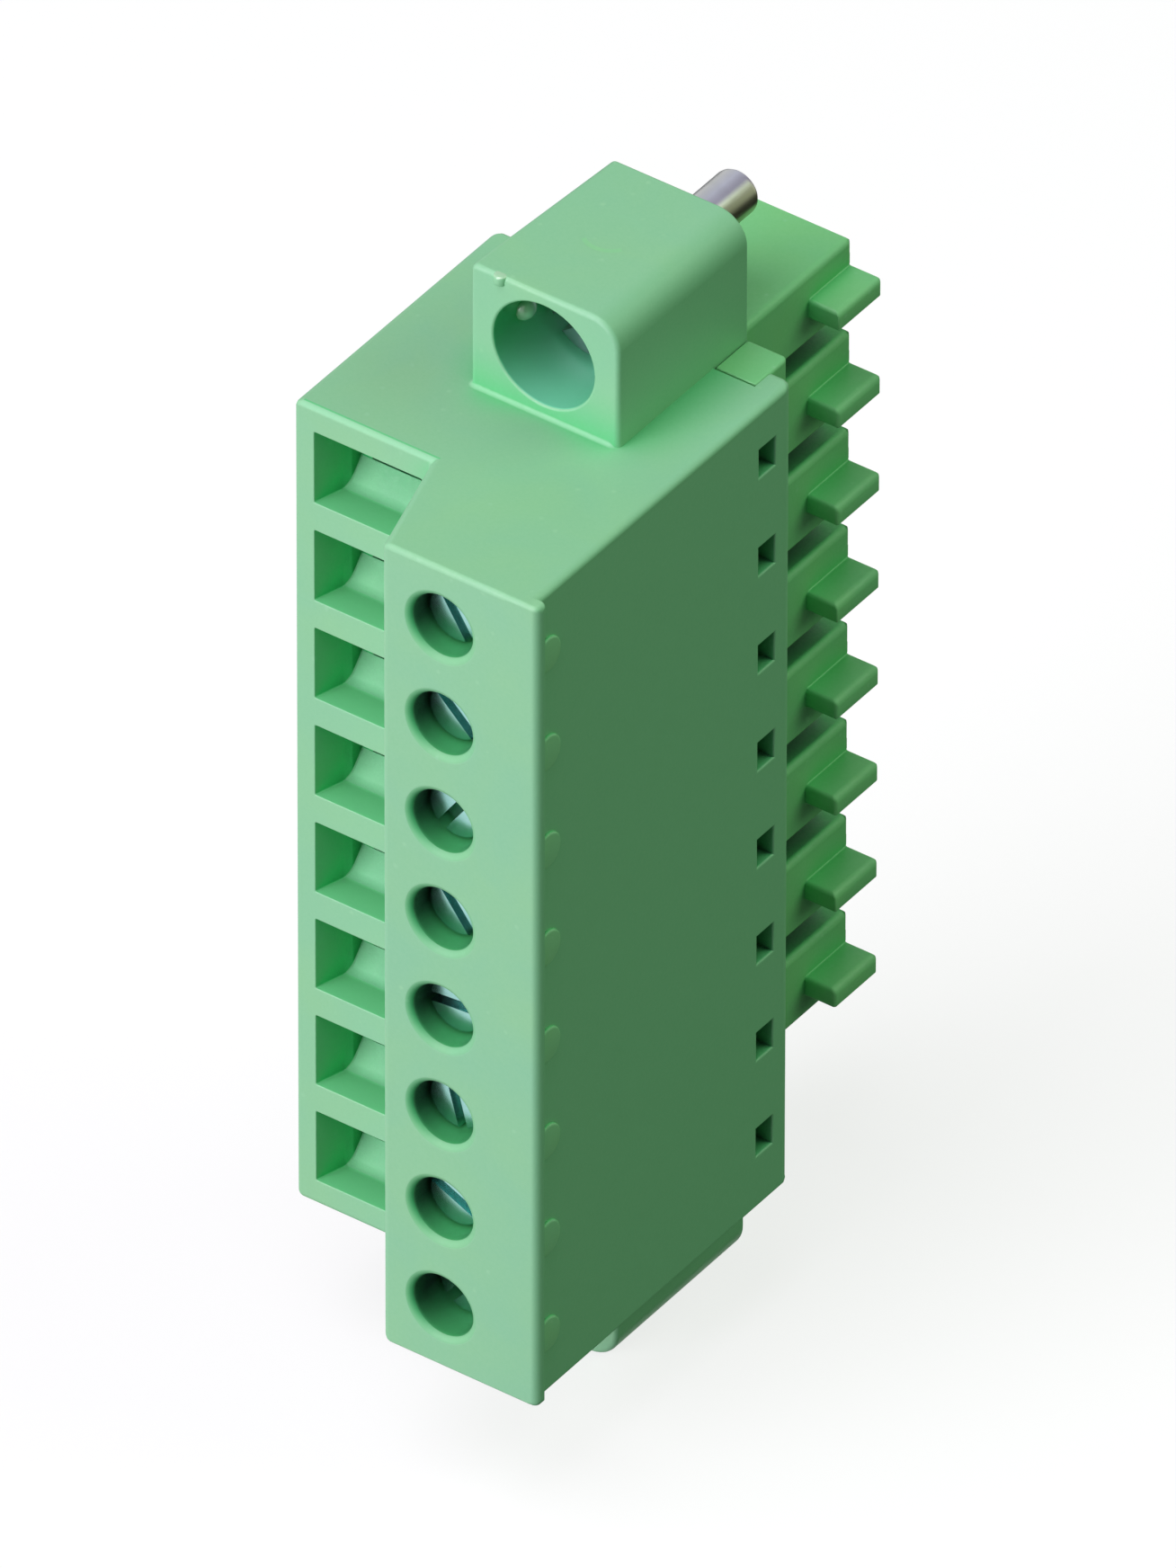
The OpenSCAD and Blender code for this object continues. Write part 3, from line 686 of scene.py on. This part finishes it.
def wireFunnels():
    # flared rim, level mouth, ramp, throat
    c = poleCuts
    wire, half = housing["wire"], poleCuts["mouthHeight"] / 2
    slope = (c["ramp"] - wire) / (c["throat"] - wire)
    rampRight = c["mouthRight"] + (c["jawX"] - c["mouthRight"]) * slope
    bm = bmesh.new()
    for z in poleHeights:
        own = bmesh.new()
        rings = [(y, (c["mouthLeft"] - wide, z - half - wide), (c["mouthRight"] + wide, z + half + wide))
                 for wide, y in rimProfile(0, wire, c["mouthFlare"], 4)]
        low, high = z + c["throatLow"], z + c["throatHigh"]
        rings += [(c["ramp"], (c["rampLeft"], z - half), (rampRight, z + half)),
                  (c["throat"], (c["throatLeft"], low), (c["jawX"], high)),
                  (c["throat"] + c["throatStep"], (c["barX"], low), (c["jawX"], high)),
                  (c["chamberFront"] + overlap, (c["barX"], low), (c["jawX"], high))]
        tunnel(own, 1, rings, c["mouthCorner"])
        roundEdges(own, edgesAt(own, y=c["ramp"]), c["rampRound"], 4)
        addInto(bm, own)
    return blank(bm)


def latchWindows():
    c, h = poleCuts, housing
    half = c["windowHeight"] / 2
    start, end = c["windowFront"], c["windowFront"] + c["windowWidth"]
    bm = bmesh.new()
    for z in poleHeights:
        middle = z + c["windowRise"]
        rim = rimProfile(0, -h["side"], c["windowFlare"], 4, c["windowClear"])  # mirrored, it runs to the left
        rings = [(-x, (start - wide, middle - half - wide), (end + wide, middle + half + wide))
                 for wide, x in [*rim, (0, overlap - h["wall"])]]
        tunnel(bm, 0, rings)
    return blank(bm)


def collarSeat():
    h = housing
    bm = bmesh.new()
    slab(bm, (h["chamber"], h["seat"], row["low"] + h["endSkin"]),
         (h["wall"], h["rim"] + overlap, row["top"] - h["endSkin"]))
    return blank(bm)


# painted light and shade: the round spots beside the lip and the near arc of the pin mark are painted paler, the
# holes, bores, flares and mouths get painted shade, the ramps painted light, and the gate and the nubs are shiny
# with a paler painted glint
housingAreas = ("housing", "spot", "hole", "gate", "bore", "mouth", "ramp", "flare")
zones = {"skin": 0.01, "holeWide": 0.03, "holeStart": 0.05, "holeEnd": 0.6, "flareWide": 0.2, "flareEnd": 0.3,
         "gateWide": 0.23, "gateDeep": 0.55, "boreWide": 0.03, "boreStart": 0.06, "mouthWide": 0.05,
         "mouthStart": 0.02, "rampUp": 0.2, "rampFront": -0.3, "markDeep": 0.02, "markHighlightArc": (-128, -35),
         "nubSkin": 0.02}


def housingPaint(face):
    # where the face lies and the way it points decide its finish, and with it its painted light and shade
    f, h, c, zone = flange, housing, poleCuts, zones
    middle = face.calc_center_median()
    flangeTop = row["top"] + f["reach"]
    fromScrew = min(math.hypot(middle.x - c["screwX"], middle.z - z) for z in poleHeights)
    fromBolt = min(math.hypot(middle.x - f["boltX"], middle.z - flangeEnd(side) - side * f["rise"])
                   for side in (1, -1))
    fromNub = min(abs(math.dist(middle, centre) - f["nubRadius"]) for centre in nubCentres())
    across, along = middle.x - f["pinMark"][0], middle.y - f["pinMark"][1]
    arcStart, arcEnd = zone["markHighlightArc"]
    # painted light: the round spots beside the lip take the paler spot green
    spot = middle.x > h["side"] + zone["skin"] and middle.y > h["lipBack"] + zone["skin"]
    # painted highlight: only the near arc of the pin mark's groove takes the paler spot green
    markHighlight = (f["markRings"][0] < math.hypot(across, along) < f["markRings"][1]
            and middle.z > flangeTop - zone["markDeep"]
            and arcStart < math.degrees(math.atan2(along, across)) < arcEnd)
    # painted shade and light: holes, flares, bores and mouths take shaded greens, ramps a lit one
    hole = (fromScrew < c["headHole"] + zone["holeWide"]
            and h["front"] + zone["holeStart"] < middle.y < c["ear"] + zone["holeEnd"])
    flare = (fromScrew < c["headHole"] + zone["flareWide"]
             and h["front"] + zone["skin"] < middle.y < h["front"] + zone["flareEnd"])
    # painted glint: the gate stub and the nubs take the paler, shiny gate green
    gate = math.dist(middle[:2], f["gate"]) < zone["gateWide"] and middle.z > flangeTop - zone["gateDeep"]
    bore = (fromBolt < f["bore"] + zone["boreWide"]
            and f["front"] + zone["boreStart"] < middle.y < f["seat"] + zone["skin"])
    nub = bore and fromNub < zone["nubSkin"]
    mouth = (c["mouthLeft"] - zone["mouthWide"] < middle.x < c["mouthRight"] + zone["mouthWide"]
             and h["wire"] + zone["mouthStart"] < middle.y < c["throat"] + zone["mouthWide"])
    ramp = mouth and face.normal.z > zone["rampUp"] and face.normal.y < zone["rampFront"]
    found = {"hole": hole, "spot": spot or markHighlight, "gate": gate or nub, "bore": bore, "ramp": ramp, "mouth": mouth,
             "flare": flare, "housing": True}
    return housingAreas.index(next(area for area, inside in found.items() if inside))


def makeHousing():
    piece = housingBody()
    carve(piece, housingLip(), "UNION")
    carve(piece, sideBumps(), "UNION")
    for side in (1, -1):
        carve(piece, flangeSkirt(side), "UNION")
        carve(piece, flangeBlock(side), "UNION")
    carve(piece, gateStub(), "UNION")
    for cut in (pinMark, flangeBores, collarSeat, chambers, earPockets, screwHoles, wireFunnels, latchWindows):
        carve(piece, cut())
    carve(piece, flangeNubs(), "UNION")
    return handOver(piece, "housing_moulding", "block", [green[area] for area in housingAreas],
                    "front_housing", housingPaint)


makeHousing()
print("front housing made")

# plug: a block whose finger zones are pushed out sideways, with ribs, collar, tile and latches
plug = {"left": -2.66, "split": 0.24, "right": 2.32, "start": 2.99, "tip": 10.935, "fingerLow": -1.38,
        "fingerHigh": 1.54, "rowLow": -1.25, "rowHigh": 1.335, "fingerRound": 0.25, "tipRound": 0.04,
        "ribOut": 3.5, "ribThick": 0.7, "ribStart": 8.685, "ribRoot": 0.06, "ribTop": 0.25, "ribUnder": 0.06,
        "ribFront": 0.14, "ribBack": 0.06, "ribFoot": 0.8, "ribSunk": 0.01,
        "collarLeft": -5.13, "collarRight": 4.98, "collarFront": 2.065, "collarEdge": 0.12, "rim": 3.915,
        "endSkin": 1.015, "tileLeft": 3.47, "tileFront": 2.16, "tileRight": 5.008, "tileCorner": 0.3,
        "tileEdge": 0.12, "tileBack": 0.15, "tileEnd": 0.05, "armThick": 0.45, "armHeight": 1.6, "armEnd": 3.0,
        "noseOut": 5.11, "noseFront": 1.285, "noseWidth": 0.61, "noseHeight": 0.86, "noseRoot": 0.3,
        "noseEdge": 0.05, "windowFront": 1.165, "socketX": 0.09, "socketWide": 1.13, "socketTall": 0.93,
        "noseWall": 0.8, "pinHole": 1.3, "leadDeep": 0.25, "leadGrow": 1.3}


def plugBlock():
    p = plug
    ends = poleHeights[-1] + p["rowLow"], poleHeights[0] + p["rowHigh"]
    spans = [(max(z + p["fingerLow"], ends[0]), min(z + p["fingerHigh"], ends[1])) for z in poleHeights]
    bm = bmesh.new()
    slab(bm, (p["left"], p["start"], ends[0]), (p["split"], p["tip"], ends[1]))
    for level in [level for span in spans for level in span]:
        bmesh.ops.bisect_plane(bm, geom=bm.verts[:] + bm.edges[:] + bm.faces[:], plane_co=(0, 0, level),
                               plane_no=(0, 0, 1))
    fingers = [f for f in bm.faces if f.normal.x > 0.9
               and any(low < f.calc_center_median().z < high for low, high in spans)]
    for face in fingers:
        pushFace(bm, face, (p["right"] - p["split"], 0, 0))
    bmesh.ops.dissolve_limit(bm, angle_limit=0.01, verts=bm.verts[:], edges=bm.edges[:])
    bmesh.ops.recalc_face_normals(bm, faces=bm.faces[:])
    sides = edgesWhere(bm, lambda q: near(q.x, p["right"]) or near(q.x, p["left"]))
    along = [e for e in sides if runsAlong(e)]
    tip = edgesAt(bm, y=p["tip"])
    return softened(bm, [(along, p["fingerRound"]), (tip, p["tipRound"])], 4)


def codingRibs():
    p = plug
    half, foot = p["ribThick"] / 2, p["ribFoot"]
    root = p["right"] - p["ribSunk"]
    back = p["tip"] - hair
    bm = bmesh.new()
    for z in poleHeights:
        own = bmesh.new()
        outline = [(root - overlap, -foot), (root, -foot), (root, -half), (p["ribOut"], -half),
                   (p["ribOut"], half), (root, half), (root, foot), (root - overlap, foot)]
        flatFace(own, [(x, p["ribStart"], z + up) for x, up in outline])
        inner = [v for v in own.verts if near(v.co.x, root) and near(abs(v.co.z - z), half)]
        roundCorners(own, inner, p["ribRoot"], 6)
        pushFace(own, own.faces[:][0], (0, back - p["ribStart"], 0))
        addInto(bm, own)

    def above(edge):
        return any(0 < (edge.verts[0].co.z + edge.verts[1].co.z) / 2 - z < 1 for z in poleHeights)

    free = edgesWhere(bm, lambda q: q.x > root + hair)
    long = [e for e in edgesAt(bm, x=p["ribOut"]) if runsAlong(e)]
    front = [e for e in edgesAt(bm, y=p["ribStart"]) if e in free]
    groups = [([e for e in long if above(e)], p["ribTop"]),
              ([e for e in long if not above(e)], p["ribUnder"]),
              ([e for e in front if above(e)], p["ribFront"]),
              ([e for e in front if not above(e)], p["ribUnder"]),
              ([e for e in edgesAt(bm, y=back) if e in free], p["ribBack"])]
    return softened(bm, groups, 4)


def collar():
    p = plug
    bm = bmesh.new()
    slab(bm, (p["collarLeft"], p["collarFront"], row["low"] + p["endSkin"]),
         (p["collarRight"] - 2 * hair, p["rim"] - hair, row["top"] - p["endSkin"]))
    roundEdges(bm, edgesAt(bm, y=p["rim"] - hair), p["collarEdge"], 3)
    return blank(bm)


def tile():
    p = plug
    bm = bmesh.new()
    slab(bm, (p["tileLeft"], p["tileFront"], row["low"]), (p["tileRight"], p["rim"], row["top"]))
    back = edgesAt(bm, y=p["rim"])
    right = edgesAt(bm, x=p["tileRight"])
    ends = [e for e in edgesWhere(bm, lambda q: near(q.z, row["low"]) or near(q.z, row["top"]))
            if e not in back and e not in right]
    return softened(bm, [(right, p["tileEdge"]), ([e for e in back if e in right], p["tileCorner"]),
                         ([e for e in back if e not in right], p["tileBack"]), (ends, p["tileEnd"])], 4)


def latches():
    p = plug
    half = p["armHeight"] / 2
    return blank(poleSlabs((p["collarRight"] - p["armThick"], p["windowFront"], -half),
                           (p["collarRight"] - hair, p["armEnd"], half), poleCuts["windowRise"]))


def latchNoses():
    p = plug
    half = p["noseHeight"] / 2
    bm = poleSlabs((p["collarRight"] - p["noseRoot"], p["noseFront"], -half),
                   (p["noseOut"], p["noseFront"] + p["noseWidth"], half), poleCuts["windowRise"])
    roundEdges(bm, edgesAt(bm, x=p["noseOut"]), p["noseEdge"], 3)
    return blank(bm)


def pinSockets():
    p = plug
    return blank(poleSlabs((p["socketX"] - p["socketWide"], p["collarFront"] - overlap, -p["socketTall"]),
                           (p["socketX"] + p["socketWide"], p["tip"] - p["noseWall"], p["socketTall"])))


def pinHoles():
    # square holes with a lead-in at the nose
    p = plug
    narrow = p["pinHole"] / 2
    wide = narrow * p["leadGrow"]
    steps = ((p["tip"] - p["noseWall"] - overlap, narrow), (p["tip"] - p["leadDeep"], narrow), (p["tip"], wide),
             (p["tip"] + overlap, wide))
    bm = bmesh.new()
    for z in poleHeights:
        rings = [(y, (p["socketX"] - half, z - half), (p["socketX"] + half, z + half)) for y, half in steps]
        tunnel(bm, 1, rings)
    return blank(bm)


def makePlug():
    piece = plugBlock()
    for part in (codingRibs, collar, tile, latches, latchNoses):
        carve(piece, part(), "UNION")
    for cut in (pinSockets, pinHoles):
        carve(piece, cut())
    return handOver(piece, "plug_moulding", "block", (green["plug"],), "plug_body")


makePlug()
print("plug made")

# clamp screws: turned with their thread, then slotted at the angle each one stands
clampScrew = {"x": 2.44, "headDepth": 0.85, "deepAdvance": 0.5, "headRadius": 1.02, "headLength": 1.35,
              "headEdge": 0.06, "rim": 0.07, "shankRadius": 0.9, "shankEnd": -4.185, "pilotRadius": 0.6,
              "pilotLength": 0.85, "pilotEdge": 0.1, "lead": 0.4, "threadDeep": 0.15,
              "threadStart": 0.6, "threadFloor": (0.45, 0.55), "steps": 56,
              "slotLong": 2, "slotWide": 0.36, "slotDeep": 0.6, "slotRound": 0.05,
              "slotTurn": (-58, -44, 55, -53, 5, -75, -25, 50)}


def slottedScrew(screw, profile, turn, centre):
    # turned about centre (x, z), then cut straight across the head, where the profile starts
    bm = bmesh.new()
    turned(bm, profile, centre, screw["steps"])
    piece = blank(bm)
    start, floor = profile[0][1], profile[0][1] + screw["slotDeep"]
    bm = bmesh.new()
    slab(bm, (-screw["slotLong"], start - overlap, -screw["slotWide"] / 2),
         (screw["slotLong"], floor, screw["slotWide"] / 2))
    if screw["slotRound"]:
        roundEdges(bm, edgesAt(bm, y=floor), screw["slotRound"], 2)
    bmesh.ops.rotate(bm, cent=(0, 0, 0), matrix=Matrix.Rotation(math.radians(-turn), 3, "Y"), verts=bm.verts[:])
    bmesh.ops.translate(bm, vec=(centre[0], 0, centre[1]), verts=bm.verts[:])
    carve(piece, blank(bm))
    return piece


def threadRings(screw, start, end):
    radius, lead, inner = screw["shankRadius"], screw["lead"], screw["shankRadius"] - screw["threadDeep"]
    points = []
    y = start + lead * screw["threadStart"]
    while y + lead < end:
        points += [(radius, y), *((inner, y + lead * part) for part in screw["threadFloor"])]
        y += lead
    return [(radius, start), *points, (radius, end)]


def makeClampScrew(index):
    s = clampScrew
    z = poleHeights[index]
    shift = s["deepAdvance"] if index == row["poles"] - 1 else 0
    start = housing["front"] + s["headDepth"] + shift
    rim = [(s["headRadius"] - s["rim"] * a, start + s["rim"] * b) for a, b in quarter(3)]
    under = start + s["headLength"]
    end = s["shankEnd"] + shift
    tip = end + s["pilotLength"]
    profile = [(0, start), *rim, (s["headRadius"], under - s["headEdge"]),
               (s["headRadius"] - s["headEdge"], under),
               *threadRings(s, under, end),
               (s["pilotRadius"], end), (s["pilotRadius"], tip - s["pilotEdge"]),
               (s["pilotRadius"] - s["pilotEdge"], tip), (0, tip)]
    piece = slottedScrew(s, profile, s["slotTurn"][index], (s["x"], z))
    name = str(index + 1)
    return handOver(piece, "clamp_screw_turned_" + name, "screw_" + name, (metal["screwZinc"],),
                    "clamp_screw_" + name)


for index in range(row["poles"]):
    makeClampScrew(index)
print("clamp screws made")

# flange screws: captive, with a smooth rounded pin
flangeScrew = {"headRadius": 1.7, "headStart": -0.335, "headEnd": 2.565, "headEdge": 0.12, "shankRadius": 1.0,
               "shankEnd": 3.915, "shankEdge": 0.1, "pinRadius": 0.8, "pinEnd": 7.465, "pinRound": 0.24,
               "steps": 64, "slotLong": 3, "slotWide": 0.6, "slotDeep": 0.8, "slotRound": 0, "slotTurn": 35}


def makeFlangeScrew(side, name):
    s = flangeScrew
    z = flangeEnd(side) + side * flange["rise"]
    head = [(s["headRadius"] - s["headEdge"] * a, s["headStart"] + s["headEdge"] * b) for a, b in quarter(4)]
    pin = [(s["pinRadius"] - s["pinRound"] * b, s["pinEnd"] - s["pinRound"] * a) for a, b in quarter(4)]
    profile = [(0, s["headStart"]), *head, (s["headRadius"], s["headEnd"]), (s["shankRadius"], s["headEnd"]),
               (s["shankRadius"], s["shankEnd"] - s["shankEdge"]), (s["pinRadius"], s["shankEnd"]), *pin,
               (0, s["pinEnd"])]
    piece = slottedScrew(s, profile, s["slotTurn"], (flange["boltX"], z))
    return handOver(piece, "flange_screw_turned_" + name, "bolt_" + name, (metal["pinZinc"],),
                    "flange_screw_" + name)


makeFlangeScrew(1, "upper")
makeFlangeScrew(-1, "lower")
print("flange screws made")

# the clamps inside keep their solids and get plated metal
innerFinish = {"clamp_wedge": "clampZinc", "clamp_jaw": "clampZinc", "clamp_cage": "clampZinc",
               "contact": "tinPlate"}
for name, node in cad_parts.items():
    finish = innerFinish.get(name.rsplit("_", 1)[0])
    if finish:
        node.data.materials.clear()
        node.data.materials.append(metal[finish])
print("inner finishes set")

# pale floor: part of its white is its own, the rest is lit and keeps the shadow
floorLook = {"radius": 450.0, "albedo": 0.15, "shownAlbedo": 0.26, "ownWhite": 0.76}


def seenWhite(nodes, links):
    # 1 for what is seen directly or in a reflection, 0 for light on its way
    path = nodes.new("ShaderNodeLightPath")
    seen = path.outputs["Is Camera Ray"]
    for name in ("Is Glossy Ray", "Is Transmission Ray"):
        either = nodes.new("ShaderNodeMath")
        either.operation = "MAXIMUM"
        links.new(seen, either.inputs[0])
        links.new(path.outputs[name], either.inputs[1])
        seen = either.outputs[0]
    return seen


def stagePiece(name, bm, finish):
    mesh = bpy.data.meshes.new(name)
    bm.to_mesh(mesh)
    bm.free()
    mesh.materials.append(finish)
    piece = bpy.data.objects.new(name, mesh)
    scene.collection.objects.link(piece)
    return piece


def makeFloor():
    bm = bmesh.new()
    bmesh.ops.create_circle(bm, cap_ends=True, segments=96, radius=floorLook["radius"] * millimetre)
    finish, nodes, links, shader = newFinish("paleFloor")
    seen = seenWhite(nodes, links)
    shade = tint(nodes, links, seen, (floorLook["albedo"],) * 3, (floorLook["shownAlbedo"],) * 3)
    own = nodes.new("ShaderNodeMath")
    own.operation = "MULTIPLY"
    own.inputs[1].default_value = floorLook["ownWhite"]
    links.new(seen, own.inputs[0])
    links.new(shade, shader.inputs["Base Color"])
    links.new(own.outputs[0], shader.inputs["Emission Strength"])
    setInputs(shader, {"Emission Color": (1, 1, 1, 1), "Roughness": 0.9, "Specular IOR Level": 0.0})
    stagePiece("floor", bm, finish)


makeFloor()

# a dark card to the right and behind is seen only in reflections, a painted dark reflection as in a studio with
# one dim side
card = {"start": 3.6, "end": 120.0, "half": 160.0, "behind": 13.0, "far": -120.0, "lift": 0.2, "height": 160.0,
        "shade": 0.02}


def makeCard():
    c = card
    bm = bmesh.new()
    outline = ((c["start"], -c["half"]), (c["end"], -c["half"]), (c["end"], c["half"]), (c["far"], c["half"]),
               (c["far"], c["behind"]), (c["start"], c["behind"]))
    face = flatFace(bm, [Vector((x, y, c["lift"])) * millimetre for x, y in outline])
    rim = [e for e in face.edges if all(near(v.co.x / millimetre, c["end"]) for v in e.verts)]
    made = bmesh.ops.extrude_edge_only(bm, edges=rim)["geom"]
    raised = [v for v in made if isinstance(v, bmesh.types.BMVert)]
    bmesh.ops.translate(bm, vec=(0, 0, c["height"] * millimetre), verts=raised)
    finish, nodes, links, shader = newFinish("darkCard")
    setInputs(shader, {"Base Color": (c["shade"],) * 3 + (1.0,), "Roughness": 1.0, "Specular IOR Level": 0.0})
    piece = stagePiece("card", bm, finish)
    for way in ("camera", "diffuse", "shadow", "transmission"):
        setattr(piece, "visible_" + way, False)


makeCard()

# soft boxes in front to the left, overhead and dimly to the right, and an even fill
studio = {"fill": 0.10, "distance": 0.6, "aimHeight": 0.02, "boxes": {
    "frontBox": {"from": (-0.26, -0.91, 0.32), "size": 0.45, "level": 0.965, "colour": (1.07, 1.0, 1.11)},
    "topBox": {"from": (-0.12, -0.32, 0.94), "size": 0.5, "level": 0.56, "colour": (1.06, 1.0, 1.10)},
    "sideBox": {"from": (0.68, 0.45, 0.57), "size": 0.5, "level": 0.415, "colour": (0.75, 1.0, 0.68)}}}


def makeLights():
    for name, box in studio["boxes"].items():
        way = Vector(box["from"]).normalized()
        lamp = bpy.data.lights.new(name, "AREA")
        lamp.shape = "DISK"
        lamp.size = box["size"]
        lamp.color = box["colour"]
        lamp.energy = box["level"] * math.pi ** 2 * studio["distance"] ** 2
        piece = bpy.data.objects.new(name, lamp)
        piece.location = way * studio["distance"] + Vector((0, 0, studio["aimHeight"]))
        piece.rotation_mode = "QUATERNION"
        piece.rotation_quaternion = (-way).to_track_quat("-Z", "Y")
        scene.collection.objects.link(piece)
    world = bpy.data.worlds.new("studio")
    scene.world = world
    world.use_nodes = True
    nodes, links = world.node_tree.nodes, world.node_tree.links
    nodes.clear()
    fill = setInputs(nodes.new("ShaderNodeBackground"), {"Strength": studio["fill"]})
    white = nodes.new("ShaderNodeBackground")
    mix = nodes.new("ShaderNodeMixShader")
    out = nodes.new("ShaderNodeOutputWorld")
    links.new(seenWhite(nodes, links), mix.inputs["Fac"])
    links.new(fill.outputs["Background"], mix.inputs[1])
    links.new(white.outputs["Background"], mix.inputs[2])
    links.new(mix.outputs["Shader"], out.inputs["Surface"])


makeLights()

# camera as far off as the picture's near-parallel edges ask
view = {"azimuth": 35.5263, "elevation": 38.1381, "roll": 0.0923, "aim": (9.339, -12.785, 31.977),
        "distance": 1400.0, "lens": 1053.05, "sensor": 36.0, "clip": (0.1, 10.0)}


def makeCamera():
    turn, rise, roll = (math.radians(view[key]) for key in ("azimuth", "elevation", "roll"))
    back = Vector((math.sin(turn) * math.cos(rise), -math.cos(turn) * math.cos(rise), math.sin(rise)))
    right = Vector((math.cos(turn), math.sin(turn), 0))
    up = back.cross(right)
    right, up = right * math.cos(roll) + up * math.sin(roll), up * math.cos(roll) - right * math.sin(roll)
    data = bpy.data.cameras.new("camera")
    data.sensor_width = view["sensor"]
    data.lens = view["lens"]
    data.clip_start, data.clip_end = view["clip"]
    camera = bpy.data.objects.new("camera", data)
    scene.collection.objects.link(camera)
    spot = (Vector(view["aim"]) + back * view["distance"]) * millimetre
    camera.matrix_world = Matrix.Translation(spot) @ Matrix((right, up, back)).transposed().to_4x4()
    scene.camera = camera


makeCamera()
scene.view_settings.view_transform = "Standard"
print("stage, light and camera set")

bpy.context.view_layer.update()
